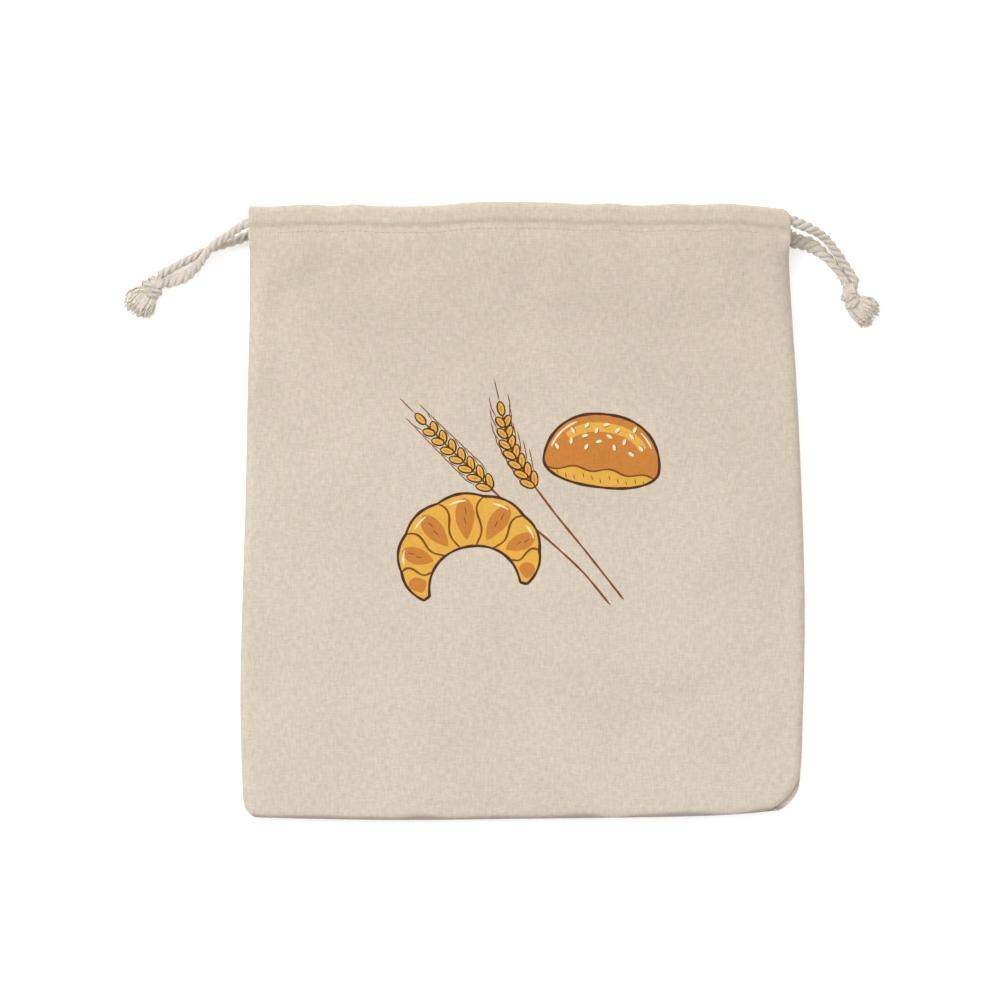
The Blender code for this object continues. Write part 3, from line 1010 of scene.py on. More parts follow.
@dataclass(frozen=True)
class LinenFinish:
    """Plain-woven linen, bare or under one ink: threads, slubs, flecks, soft changes of colour, and painted
    shade that darkens it towards the top of the bag and along its seams.
    """

    name: str = "linen"
    # upper and lower: colours at the top and the bottom of the bag; the blend between them is painted shade,
    # darker towards the top.
    upper: tuple = (0.569, 0.486, 0.391)
    lower: tuple = (0.600, 0.528, 0.443)
    # seam: colour of the painted shade along the seams.
    seam: tuple = (0.345, 0.306, 0.262)
    slubs: float = 1.0
    thread_pitch: float = 0.82 * MM

    def weave(self, board: NodeBoard, run: Socket) -> Socket:
        """Relief of the threads that pass over and under each other.

        Args:
            board: the material's nodes.
            run: texture places along the cloth.

        Returns:
            The relief from 0 to 1.
        """
        wander = board.node("TexNoise", {"Vector": run, "Scale": 160.0, "Detail": 1.0}).outputs["Color"]
        centred = board.node("VectorMath", {0: wander, 1: (0.5, 0.5, 0.5)}, operation="SUBTRACT").outputs[0]
        sway = {0: centred, 1: (0.9 * MM,) * 3, 2: run}
        shifted = board.node("VectorMath", sway, operation="MULTIPLY_ADD").outputs[0]
        split = board.node("SeparateXYZ", {0: shifted})
        turns = math.pi / self.thread_pitch
        warp = board.math("SINE", board.math("MULTIPLY", split.outputs[0], turns))
        weft = board.math("SINE", board.math("MULTIPLY", split.outputs[1], turns))
        over = board.math("MULTIPLY_ADD", board.math("MULTIPLY", warp, weft), 1.5, 0.5)
        over = board.math("MINIMUM", board.math("MAXIMUM", over, 0.0), 1.0)
        warp, weft = board.math("ABSOLUTE", warp), board.math("ABSOLUTE", weft)
        return board.math("MULTIPLY_ADD", over, board.math("SUBTRACT", weft, warp), warp)

    def material(self) -> bpy.types.Material:
        """Makes the material.

        Returns:
            A material that follows the cloth's own texture places.
        """
        board = NodeBoard(self.name)
        run = board.node("UVMap", uv_map="cloth_run").outputs[0]
        weave = self.weave(board, run)
        warp_slubs = board.noise(board.scaled(run, 900.0, 215.0))
        weft_slubs = board.noise(board.scaled(run, 240.0, 900.0))
        mottle = board.noise(run, 300.0, 3.0)
        broad = board.noise(run, 17.0, 2.0)
        # Painted shade: the colour darkens from the bottom of the bag towards its top.
        place = board.node("TexCoord").outputs["Object"]
        up = board.node("SeparateXYZ", {0: place}).outputs[1]
        painted_shade_share = board.ranged(up, -0.17, 0.17, 0.0, 1.0)
        colour = board.blend(painted_shade_share, (*self.lower, 1.0), (*self.upper, 1.0))
        tint = board.ranged(board.noise(run, 95.0, 2.0), 0.35, 0.65, 0.0, 1.0)
        tinted = board.blend(tint, (1.0, 0.985, 0.985, 1.0), (0.99, 1.0, 0.965, 1.0))
        colour = board.blend(1.0, colour, tinted, "MULTIPLY")
        # Painted shade along the seams, strongest at the bottom edge.
        shade = board.node("Attribute", attribute_name="painted_seam_shade").outputs["Fac"]
        colour = board.blend(shade, colour, (*self.seam, 1.0))
        parts = (
            (weave, 0.0, 1.0, 0.08),
            (warp_slubs, 0.32, 0.68, 0.10 * self.slubs),
            (weft_slubs, 0.32, 0.68, 0.085 * self.slubs),
            (mottle, 0.3, 0.7, 0.06),
            (broad, 0.3, 0.7, 0.05),
        )
        strength = 1.0
        for value, low, high, reach in parts:
            change = board.ranged(value, low, high, 1 - reach / 2, 1 + reach / 2)
            strength = board.math("MULTIPLY", change, strength)
        dark = board.ranged(board.noise(board.scaled(run, 430.0, 210.0)), 0.70, 0.76, 1.0, 0.86)
        light = board.ranged(board.noise(board.scaled(run, 260.0, 520.0)), 0.68, 0.76, 1.0, 1.08)
        strength = board.math("MULTIPLY", board.math("MULTIPLY", strength, dark), light)
        relief = board.math("MULTIPLY_ADD", warp_slubs, 0.6, board.math("MULTIPLY", weave, 0.45))
        relief = board.math("MULTIPLY_ADD", weft_slubs, 0.5, relief)
        return board.finish(board.shade(colour, strength), relief, 0.16 * MM, 0.92, 0.12)


@dataclass(frozen=True)
class CottonFinish:
    """Twisted cotton: fibres and yarns along each strand, with painted shade in the grooves between strands.
    """

    name: str = "cotton_cord"
    colour: tuple = (0.735, 0.672, 0.592)
    warm: tuple = (0.748, 0.656, 0.528)
    painted_groove_shade: float = 0.86
    yarns: float = 21.0

    def material(self) -> bpy.types.Material:
        """Makes the material.

        Returns:
            A material that follows the cord's length and its turns.
        """
        board = NodeBoard(self.name)
        run = board.node("UVMap", uv_map="cloth_run").outputs[0]
        split = board.node("SeparateXYZ", {0: run})
        length, share = split.outputs[0], split.outputs[1]
        # Painted shade: darker where the strands meet in the grooves.
        strand = board.math("COSINE", board.math("MULTIPLY", share, 6 * math.pi))
        painted_groove_shade = board.ranged(strand, -1.0, -0.35, self.painted_groove_shade, 1.0)
        slant = board.math("MULTIPLY_ADD", length, 420.0, board.math("MULTIPLY", share, self.yarns))
        yarn = board.math("SINE", board.math("MULTIPLY", slant, 2 * math.pi))
        fibres = board.noise(board.scaled(run, 260.0, 34.0), 1.0, 3.0)
        patches = board.noise(board.scaled(run, 140.0, 3.0), 1.0, 2.0)
        strength = board.math("MULTIPLY", painted_groove_shade, board.ranged(fibres, 0.3, 0.7, 0.90, 1.09))
        strength = board.math("MULTIPLY", strength, board.ranged(patches, 0.3, 0.7, 0.93, 1.06))
        strength = board.math("MULTIPLY", strength, board.ranged(yarn, -1.0, 1.0, 0.95, 1.03))
        warmth = board.ranged(patches, 0.4, 0.65, 0.0, 1.0)
        tinted = board.blend(warmth, (*self.colour, 1.0), (*self.warm, 1.0))
        relief = board.math("MULTIPLY_ADD", fibres, 0.8, board.math("MULTIPLY", yarn, 0.25))
        return board.finish(board.shade(tinted, strength), relief, 0.35 * MM, 0.95, 0.15)


@dataclass(frozen=True)
class ThreadFinish:
    """Linen sewing thread with its own twist."""

    name: str = "sewing_thread"
    colour: tuple = (0.66, 0.57, 0.455)

    def material(self) -> bpy.types.Material:
        """Makes the material.

        Returns:
            A material with a fine slanted twist.
        """
        board = NodeBoard(self.name)
        place = board.node("TexCoord").outputs["Object"]
        settings = {"Vector": place, "Scale": 900.0, "Distortion": 0.4}
        twist = board.node("TexWave", settings, bands_direction="DIAGONAL").outputs["Fac"]
        mottle = board.ranged(board.noise(place, 500.0), 0.3, 0.7, 0.94, 1.06)
        strength = board.math("MULTIPLY", board.ranged(twist, 0.0, 1.0, 0.9, 1.05), mottle)
        base = (*self.colour, 1.0)
        return board.finish(board.shade(base, strength), twist, 0.05 * MM, 0.85, 0.1)


def spaced(points: np.ndarray, count: int) -> np.ndarray:
    """Evenly spaced points along one smooth curve.

    Args:
        points: the points that it passes through.
        count: how many steps it has.

    Returns:
        One point more than that.
    """
    lengths = np.concatenate([[0.0], np.cumsum(np.linalg.norm(np.diff(points, axis=0), axis=1))])
    at = np.linspace(0.0, lengths[-1], count + 1)
    axes = [SmoothLine(tuple(zip(lengths, points[:, axis]))).at(at) for axis in range(3)]
    return np.stack(axes, axis=-1)


def run_lengths(path: np.ndarray) -> np.ndarray:
    """Length along a path at each of its points.

    Args:
        path: the points.

    Returns:
        Their distances from the first.
    """
    return np.concatenate([[0.0], np.cumsum(np.linalg.norm(np.diff(path, axis=0), axis=1))])


def frames_along(path: np.ndarray) -> tuple[np.ndarray, np.ndarray]:
    """Directions across a path, turned as little as possible from one point to the next.

    Args:
        path: the points.

    Returns:
        The direction sideways and the direction upwards at each point.
    """
    ahead = unit(np.gradient(path, axis=0))
    start = np.cross(ahead[0], np.array([0.0, 0.0, 1.0]))
    sideways = [unit(start)]
    for direction in ahead[1:]:
        last = sideways[-1]
        sideways.append(unit(last - direction * np.dot(last, direction)))
    sideways = np.array(sideways)
    return sideways, np.cross(sideways, ahead)


class Swell(NamedTuple):
    """Where a cord's twist has loosened: the middle and half length as shares of its run, how much wider it
    is, and how far it is pushed along X and Y in millimetres."""

    share: float
    reach: float
    wider: float
    x: float
    y: float


@dataclass(frozen=True)
class TwistedCord:
    """Three strands twisted into one cord, in millimetres."""

    diameter: float = 4.4
    pitch: float = 13.5
    strand_share: float = 0.57
    step: float = 0.85
    sides: int = 30
    unevenness: float = 0.05

    def section(self, angles: np.ndarray) -> np.ndarray:
        """Radius of the cord round its three strands.

        Args:
            angles: directions from the first strand's middle.

        Returns:
            The distance from the cord's centre in each direction.
        """
        strand = self.diameter / 2 * self.strand_share
        offset = self.diameter / 2 - strand
        third = 2 * math.pi / 3
        turn = (angles + third / 2) % third - third / 2
        return offset * np.cos(turn) + np.sqrt(strand**2 - (offset * np.sin(turn)) ** 2)

    def add_to(
        self,
        draft: MeshDraft,
        path: np.ndarray,
        seed: int,
        floor: float = 0.0,
        taper: float = 0.0,
        swells: Sequence[Swell] = (),
    ) -> None:
        """Adds the cord along a path.

        Args:
            draft: the mesh that takes it.
            path: evenly spaced points of its centreline.
            seed: what its unevenness starts from.
            floor: least height of its surface.
            taper: length at each end over which it thins.
            swells: where it has loosened.
        """
        lengths = run_lengths(path)
        sideways, upwards = frames_along(path)
        rng = np.random.default_rng(seed)
        angles = 2 * math.pi * np.arange(self.sides) / self.sides
        turned = 2 * math.pi * lengths / self.pitch
        round_strand = self.section(angles)
        strand = np.arange(self.sides) * 3 // self.sides
        seeds = [int(rng.integers(1000)) for _ in range(3)]
        sway = [Ripples(9.0, self.unevenness, own).at(lengths, 40.0 * k) for k, own in enumerate(seeds)]
        swell = 1 + np.array(sway)[strand].T
        if taper > 0:
            ends = np.minimum(lengths, lengths[-1] - lengths) / taper
            swell = swell * (0.35 + 0.65 * eased(0.0, 1.0, ends))[:, None]
        radius = round_strand[None, :] * swell
        reach = angles[None, :] + turned[:, None]
        rings = path[:, None, :] + sideways[:, None, :] * (radius * np.cos(reach))[:, :, None]
        rings = rings + upwards[:, None, :] * (radius * np.sin(reach))[:, :, None]
        for loose in swells:
            bulge = np.exp(-(((lengths / lengths[-1] - loose.share) / loose.reach) ** 2))[:, None]
            rings[:, :, :2] += (rings[:, :, :2] - path[:, None, :2]) * (loose.wider * bulge)[:, :, None]
            rings[:, :, :2] += bulge[:, :, None] * np.array([loose.x, loose.y])
        rings[:, :, 2] = np.maximum(rings[:, :, 2], floor)
        add_tube(draft, rings, lengths)


def add_tube(draft: MeshDraft, rings: np.ndarray, lengths: np.ndarray, turn: float = 1.0) -> None:
    """Adds a closed tube through rings of points.

    Args:
        draft: the mesh that takes it.
        rings: rings of points in millimetres.
        lengths: how far along the tube each ring is.
        turn: the texture's share of a whole turn that goes once round the tube.
    """
    count, sides = rings.shape[:2]
    ends = np.stack([rings[0].mean(axis=0), rings[-1].mean(axis=0)])
    first = draft.add_points(rings)
    caps = draft.add_points(ends)
    for k in range(count - 1):
        u0, u1 = lengths[k] * MM, lengths[k + 1] * MM
        for side in range(sides):
            after = (side + 1) % sides
            v0, v1 = turn * side / sides, turn * (side + 1) / sides
            a, b = first + k * sides, first + (k + 1) * sides
            places = ((u0, v0), (u1, v0), (u1, v1), (u0, v1))
            draft.add_face((a + side, b + side, b + after, a + after), places)
    for side in range(sides):
        after = (side + 1) % sides
        place = [turn * share / sides for share in (side, side + 1, side + 0.5)]
        u0, u1 = lengths[0] * MM, lengths[-1] * MM
        places = tuple((u0, v) for v in place)
        draft.add_face((first + side, first + after, caps), places)
        last = first + (count - 1) * sides
        places = ((u1, place[1]), (u1, place[0]), (u1, place[2]))
        draft.add_face((last + after, last + side, caps + 1), places)


class KnotRing(NamedTuple):
    """One section of the soft body inside a knot: share of the way along, half its width and half its
    height."""

    along: float
    across: float
    up: float


@dataclass(frozen=True)
class FrayedKnot:
    """Both tails of one side wound into a knot, with their ends frayed into a tuft, in millimetres."""

    side: Side
    spots: tuple[Spot, ...]
    seed: int
    cord: TwistedCord = TwistedCord(diameter=4.0, pitch=12.0, step=0.7, sides=24)
    flare_across: float = 7.0
    core: tuple[KnotRing, ...] = (
        KnotRing(-0.06, 2.2, 1.2),
        KnotRing(0.06, 3.2, 2.2),
        KnotRing(0.16, 3.5, 2.9),
        KnotRing(0.28, 3.5, 3.1),
        KnotRing(0.44, 3.3, 3.0),
        KnotRing(0.54, 3.4, 2.8),
        KnotRing(0.66, 4.6, 2.9),
        KnotRing(0.80, 5.5, 2.7),
        KnotRing(0.94, 5.6, 2.2),
        KnotRing(1.00, 3.9, 1.3),
    )
    middle_height: float = 4.3
    tuft_height: float = 3.1
    wrap_across: float = 3.4
    wrap_up: float = 2.3
    wrap_from: float = 0.12
    wrap_to: float = 0.52
    turns: float = 2.4
    strand_from: float = -0.26
    strand_to: float = 0.26
    strand_across: tuple[float, float] = (2.5, 1.5)
    strand_up: tuple[float, float] = (2.9, 4.9)
    neck: float = 0.46
    fibres: int = 280
    fibre_radius: float = 0.38
    fibre_turn: float = 0.07
    flare_up: float = 3.1
    slices: int = 80
    core_sides: int = 28

    @cached_property
    def axis(self) -> np.ndarray:
        """Evenly spaced points under the knot's middle."""
        return spaced(np.array(self.spots, dtype=float), self.slices)

    def place(self, along: np.ndarray, across: np.ndarray, up: np.ndarray) -> np.ndarray:
        """Points beside the knot's axis.

        Args:
            along: share of the way along it, which may be less than 0 or pass 1.
            across: distance to the side.
            up: height above the table.

        Returns:
            A point for each.
        """
        sideways, _ = frames_along(self.axis)
        ahead, start = unit(self.axis[-1] - self.axis[-4]), unit(self.axis[3] - self.axis[0])
        length = run_lengths(self.axis)[-1]
        at = np.clip(along, 0.0, 1.0) * self.slices
        steps = np.arange(self.slices + 1)
        base = np.stack([np.interp(at, steps, self.axis[:, k]) for k in range(3)], axis=-1)
        side = np.stack([np.interp(at, steps, sideways[:, k]) for k in range(3)], axis=-1)
        past = np.maximum(np.asarray(along) - 1.0, 0.0) * length
        short = np.minimum(np.asarray(along), 0.0) * length
        points = base + side * np.asarray(across)[..., None] + ahead * past[..., None]
        points = points + start * short[..., None]
        points[..., 2] = up
        return points

    def middle(self, along: np.ndarray) -> np.ndarray:
        """Height of the middle of the knot, and then of its tuft."""
        return mixed(self.middle_height, self.tuft_height, eased(self.neck - 0.06, 0.8, along))

    def add_core(self, draft: MeshDraft) -> None:
        """Adds the soft body under the wraps and the fibres.

        Args:
            draft: the mesh that takes it.
        """
        count = 40
        along = np.linspace(self.core[0].along, self.core[-1].along, count)
        across = SmoothLine(tuple((ring.along, ring.across) for ring in self.core)).at(along)
        up = SmoothLine(tuple((ring.along, ring.up) for ring in self.core)).at(along)
        angles = -2 * math.pi * np.arange(self.core_sides) / self.core_sides
        ridge = 1 + 0.07 * np.cos(7 * angles[None, :] + 5 * along[:, None] + self.seed)
        sides = across[:, None] * np.cos(angles)[None, :] * ridge
        heights = self.middle(along)[:, None] + up[:, None] * np.sin(angles)[None, :] * ridge
        stations = np.repeat(along[:, None], self.core_sides, axis=1)
        spots = self.place(stations, sides, np.maximum(heights, 0.05))
        add_tube(draft, spots[:, ::-1], along * run_lengths(self.axis)[-1])

    def add_strands(self, draft: MeshDraft) -> None:
        """Adds the last of both tails, which run in under the first turn of cord.

        Args:
            draft: the mesh that takes them.
        """
        share = np.linspace(0.0, 1.0, 60)
        along = mixed(self.strand_from, self.strand_to, share)
        for side in (-1, 1):
            across = side * mixed(*self.strand_across, eased(0.1, 1.0, share))
            route = self.place(along, across, mixed(*self.strand_up, eased(0.0, 0.9, share)))
            count = round(run_lengths(route)[-1] / self.cord.step)
            self.cord.add_to(draft, spaced(route[::4], count), self.seed + side, floor=0.05, taper=1.8)

    def add_wraps(self, draft: MeshDraft) -> None:
        """Adds the turns of cord round the knot.

        Args:
            draft: the mesh that takes them.
        """
        share = np.linspace(0.0, 1.0, 400)
        tucked = eased(0.0, 0.10, share) * (1 - eased(0.90, 1.0, share))
        turn = 2 * math.pi * self.turns * share * self.side.value + 0.9
        along = mixed(self.wrap_from, self.wrap_to, share)
        across = mixed(0.9, self.wrap_across, tucked) * np.cos(turn)
        up = self.middle_height + mixed(0.7, self.wrap_up, tucked) * np.sin(turn)
        route = self.place(along, across, up)
        count = round(run_lengths(route)[-1] / self.cord.step)
        self.cord.add_to(draft, spaced(route[::4], count), self.seed, floor=0.05, taper=2.5)

    def add_fibres(self, draft: MeshDraft) -> None:
        """Adds the frayed fibres of the tuft.

        Args:
            draft: the mesh that takes them.
        """
        rng = np.random.default_rng(self.seed)
        t = np.linspace(0.0, 1.0, 10)
        angles = 2 * math.pi * np.arange(5) / 5
        for k in range(self.fibres):
            turn, reach = rng.uniform(0, 2 * math.pi), math.sqrt(rng.uniform(0.12, 1.0))
            end = rng.uniform(1.02, 1.20) - 0.22 * reach * reach
            along = mixed(self.neck - 0.05, end, t)
            flare = mixed(0.52, 1.0, np.sin(t * math.pi / 2) ** 0.9) * reach
            sway = rng.uniform(0.2, 0.7) * np.sin(t * rng.uniform(3.0, 9.0) + rng.uniform(0, 6.0)) * t
            across = self.flare_across * flare * math.cos(turn) + sway
            up = self.middle(along) + self.flare_up * flare * math.sin(turn) + 0.5 * sway
            path = self.place(along, across, np.maximum(up, self.fibre_radius + 0.05))
            sideways, upwards = frames_along(path)
            radius = self.fibre_radius * rng.uniform(0.8, 1.25) * mixed(1.0, 0.7, t)
            ring = sideways[:, None, :] * np.cos(angles)[None, :, None]
            ring = ring + upwards[:, None, :] * np.sin(angles)[None, :, None]
            rings = path[:, None, :] + ring * radius[:, None, None]
            add_tube(draft, rings, run_lengths(path) + 3.7 * k, self.fibre_turn)

    def build(self, material: bpy.types.Material) -> bpy.types.Object:
        """Builds the knot and lets it stand for its solid.

        Args:
            material: the cotton.

        Returns:
            The knot with its tuft.
        """
        draft = MeshDraft()
        self.add_core(draft)
        self.add_strands(draft)
        self.add_wraps(draft)
        self.add_fibres(draft)
        name = self.side.name.lower()
        obj = draft.finished(f"{name}_knot_and_tuft", [material])
        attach(obj, BODY)
        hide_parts(f"{name}_knot")
        return obj


@dataclass(frozen=True)
class Drawstring:
    """The cord that is tied at one side: its hidden run, its two tails and their knot."""

    shape: BagShape
    side: Side
    lane: float
    front_route: tuple[Spot, ...]
    back_route: tuple[Spot, ...]
    knot: FrayedKnot
    swells: tuple[tuple[Swell, ...], tuple[Swell, ...]] = ((), ())
    cord: TwistedCord = TwistedCord(diameter=4.9)
    hidden_cord: TwistedCord = TwistedCord(step=1.6, sides=18)
    piece_gap: float = 0.55
    tail_lead: float = 2.0
    run_step: float = 8.0
    loop_steps: int = 8

    def tail_path(self, panel: Panel) -> np.ndarray:
        """Centreline of one tail, from its heading's end to the knot.

        Args:
            panel: the cloth whose heading it leaves.

        Returns:
            Evenly spaced points.
        """
        spots = self.front_route if panel is Panel.FRONT else self.back_route
        outwards = np.array([self.side.value, 0.0, 0.0])
        tunnel_end = self.shape.tunnel_end(self.side)
        start = self.shape.lane_point(tunnel_end, self.lane, panel) + outwards * self.piece_gap
        points = np.array([start, start + outwards * self.tail_lead, *spots])
        length = run_lengths(points)[-1]
        return spaced(points, round(length / self.cord.step))

    def run_path(self) -> np.ndarray:
        """Centreline of the hidden run: front heading, loop past its far end, back heading.

        Returns:
            Evenly spaced points.
        """
        near = self.shape.tunnel_end(self.side)
        far = self.shape.tunnel_end(Side(-self.side.value))
        places = np.linspace(near, far, round(abs(far - near) / self.run_step) + 1)
        front = self.shape.lane_point(places, self.lane, Panel.FRONT)
        back = self.shape.lane_point(places[::-1], self.lane, Panel.BACK)
        radius = (front[-1, 2] - back[0, 2]) / 2
        angles = math.pi * np.arange(1, self.loop_steps) / self.loop_steps
        loop = np.stack(
            [
                far - self.side.value * radius * np.sin(angles),
                np.full_like(angles, front[-1, 1]),
                back[0, 2] + radius + radius * np.cos(angles),
            ],
            axis=-1,
        )
        route = np.concatenate([front, loop, back])
        return spaced(route, round(run_lengths(route)[-1] / self.hidden_cord.step))

    def build(self, material: bpy.types.Material) -> list[bpy.types.Object]:
        """Args:
            material: the cotton.

        Returns:
            The pieces made.
        """
        name = self.side.name.lower()
        knot = self.knot.build(material)
        made = [knot]
        for panel, swells in zip(Panel, self.swells):
            path = self.tail_path(panel)
            draft = MeshDraft()
            self.cord.add_to(draft, path, 31 + 7 * self.side.value + len(panel.value), 0.05, swells=swells)
            tail = draft.finished(f"{name}_strand_{panel.value}", [material])
            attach(tail, BODY)
            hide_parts(f"{name}_tail_{panel.value}")
            made.append(tail)
        draft = MeshDraft()
        self.hidden_cord.add_to(draft, self.run_path(), 50 + self.side.value)
        run = draft.finished(f"{name}_strand_hidden", [material])
        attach(run, BODY)
        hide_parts(f"{name}_cord_run")
        return [*made, run]


@dataclass(frozen=True)
class Cords:
    """Both drawstrings of the bag."""

    shape: BagShape
    left_front: tuple[Spot, ...] = (
        Spot(-139.5, 153.7, 16.2),
        Spot(-146.0, 153.9, 15.8),
        Spot(-155.8, 147.9, 12.2),
        Spot(-165.6, 141.4, 8.0),
        Spot(-170.4, 135.1, 5.6),
        Spot(-176.5, 128.5, 3.2),
        Spot(-182.0, 125.4, 2.5),
        Spot(-187.2, 123.5, 2.6),
        Spot(-190.8, 122.0, 3.0),
    )
    left_back: tuple[Spot, ...] = (
        Spot(-138.5, 152.0, 3.4),
        Spot(-146.0, 147.7, 2.7),
        Spot(-157.4, 143.2, 2.5),
        Spot(-165.6, 140.8, 2.4),
        Spot(-173.8, 137.1, 2.4),
        Spot(-181.9, 132.9, 2.5),
        Spot(-190.1, 128.5, 2.7),
        Spot(-193.9, 126.1, 3.0),
    )
    right_front: tuple[Spot, ...] = (
        Spot(136.0, 157.6, 16.2),
        Spot(143.4, 156.2, 15.4),
        Spot(151.7, 153.2, 12.2),
        Spot(159.1, 148.4, 8.4),
        Spot(164.9, 142.2, 5.2),
        Spot(169.6, 135.8, 3.3),
        Spot(173.8, 129.4, 2.7),
        Spot(176.8, 124.3, 2.8),
        Spot(177.6, 121.8, 3.0),
    )
    right_back: tuple[Spot, ...] = (
        Spot(133.0, 157.3, 3.5),
        Spot(136.7, 155.0, 2.8),
        Spot(139.2, 151.1, 2.5),
        Spot(141.4, 147.1, 2.5),
        Spot(145.4, 144.6, 2.5),
        Spot(151.0, 143.2, 2.5),
        Spot(157.3, 139.9, 2.5),
        Spot(163.7, 134.5, 2.5),
        Spot(168.8, 128.2, 2.6),
        Spot(171.6, 123.7, 2.8),
        Spot(172.3, 121.5, 3.0),
    )
    left_front_swells: tuple[Swell, ...] = (
        Swell(0.14, 0.12, 0.22, 0.0, -0.5),
        Swell(0.88, 0.12, 0.38, 0.2, -0.8),
    )
    left_back_swells: tuple[Swell, ...] = (Swell(0.20, 0.14, 0.18, 0.0, 0.3),)
    right_front_swells: tuple[Swell, ...] = (Swell(0.32, 0.19, 0.26, -0.5, -1.5),)
    right_back_swells: tuple[Swell, ...] = (Swell(0.42, 0.24, 0.82, 0.2, 0.2),)
    left_knot: tuple[Spot, ...] = (
        Spot(-193.2, 123.1, 0.0),
        Spot(-197.8, 119.5, 0.0),
        Spot(-202.0, 114.5, 0.0),
        Spot(-206.6, 107.9, 0.0),
    )
    right_knot: tuple[Spot, ...] = (
        Spot(174.9, 120.5, 0.0),
        Spot(174.3, 115.1, 0.0),
        Spot(177.4, 110.5, 0.0),
        Spot(186.4, 104.7, 0.0),
    )

    def build(self) -> list[bpy.types.Object]:
        """Builds both drawstrings.

        Returns:
            Their pieces.
        """
        cotton = CottonFinish().material()
        shape = self.shape
        left_knot = FrayedKnot(Side.LEFT, self.left_knot, 71, flare_across=9.0, wrap_across=4.7)
        right_knot = FrayedKnot(Side.RIGHT, self.right_knot, 72, flare_across=8.5)
        left = Drawstring(
            shape,
            Side.LEFT,
            shape.lower_lane,
            self.left_front,
            self.left_back,
            left_knot,
            (self.left_front_swells, self.left_back_swells),
        )
        right = Drawstring(
            shape,
            Side.RIGHT,
            shape.upper_lane,
            self.right_front,
            self.right_back,
            right_knot,
            (self.right_front_swells, self.right_back_swells),
        )
        return left.build(cotton) + right.build(cotton)


class InkShape(NamedTuple):
    """A filled shape of one ink: its corners in millimetres on the flat front."""

    points: np.ndarray
    ink: Ink


def signed_area(points: np.ndarray) -> float:
    """Area inside a flat outline, more than 0 where its points run anticlockwise."""
    x, y = points[:, 0], points[:, 1]
    return float(np.sum(x * np.roll(y, -1) - np.roll(x, -1) * y) / 2)


@dataclass(frozen=True)
class Pen:
    """Draws lines and rounded shapes for the print, in millimetres, turned and moved to one place."""

    x: float
    y: float
    turn: float = 0.0
    line: float = 1.45
    step: float = 1.3
    seed: int = 1

    def moved(self, points: np.ndarray) -> np.ndarray:
        """Points of the motif at their place on the cloth."""
        angle = math.radians(self.turn)
        across = points[:, 0] * math.cos(angle) - points[:, 1] * math.sin(angle)
        up = points[:, 0] * math.sin(angle) + points[:, 1] * math.cos(angle)
        return np.stack([across + self.x, up + self.y], axis=-1)

    def smooth(self, points: np.ndarray) -> np.ndarray:
        """A line's points, set one step apart.

        Args:
            points: the line's points.

        Returns:
            Evenly spaced points along it.
        """
        lengths = run_lengths(points)
        at = np.linspace(0.0, lengths[-1], max(2, round(lengths[-1] / self.step)) + 1)
        return np.stack([np.interp(at, lengths, points[:, k]) for k in range(2)], axis=-1)

    def fill(self, points: np.ndarray, ink: Ink) -> list[InkShape]:
        """A filled shape."""
        points = self.moved(self.smooth(np.concatenate([points, points[:1]])))[:-1]
        return [InkShape(points if signed_area(points) > 0 else points[::-1], ink)]

    def stroke(
        self,
        points: np.ndarray,
        ink: Ink,
        width: float | None = None,
        closed: bool = False,
    ) -> list[InkShape]:
        """A line with the uneven width of a brush, as a chain of short four-cornered shapes.

        Args:
            points: the line's points.
            ink: its ink.
            width: how wide it is, or None for the pen's own line.
            closed: whether its end joins its start.

        Returns:
            The shapes of the chain.
        """
        if closed:
            points = np.concatenate([points, points[:1]])
        points = self.smooth(points)
        ahead = unit(np.gradient(points, axis=0))
        if closed:
            joined = unit(points[1] - points[-2])
            ahead[0] = ahead[-1] = joined
        aside = np.stack([-ahead[:, 1], ahead[:, 0]], axis=-1)
        lengths = run_lengths(points)
        uneven = 1 + 0.13 * np.sin(lengths * 0.31 + self.seed) + 0.08 * np.sin(lengths * 0.83 + 2 * self.seed)
        half = (width or self.line) / 2 * uneven
        if closed:
            half[-1] = half[0]
        else:
            half = half * (0.35 + 0.65 * np.minimum(1.0, np.minimum(lengths, lengths[-1] - lengths) / 2.2))
        left, right = self.moved(points + aside * half[:, None]), self.moved(points - aside * half[:, None])
        if closed:
            left[-1], right[-1] = left[0], right[0]
        shapes = []
        for k in range(len(points) - 1):
            corners = np.array([right[k], right[k + 1], left[k + 1], left[k]])
            halves = (corners[[0, 1, 2]], corners[[0, 2, 3]])
            if min(signed_area(half) for half in halves) > 0:
                shapes.append(InkShape(corners, ink))
            else:
                shapes += [InkShape(half, ink) for half in halves if signed_area(half) > 0]
        return shapes


def oval(
    x: float,
    y: float,
    half_width: float,
    half_height: float,
    turn: float = 0.0,
    corners: int = 14,
) -> np.ndarray:
    """Points round an ellipse.

    Args:
        x: its centre across.
        y: its centre up.
        half_width: half its size along its turned width.
        half_height: half its other size.
        turn: how far it is turned, in degrees.
        corners: how many points it has.

    Returns:
        The points.
    """
    around = 2 * math.pi * np.arange(corners) / corners
    flat = np.stack([half_width * np.cos(around), half_height * np.sin(around)], axis=-1)
    return Pen(x, y, turn).moved(flat)


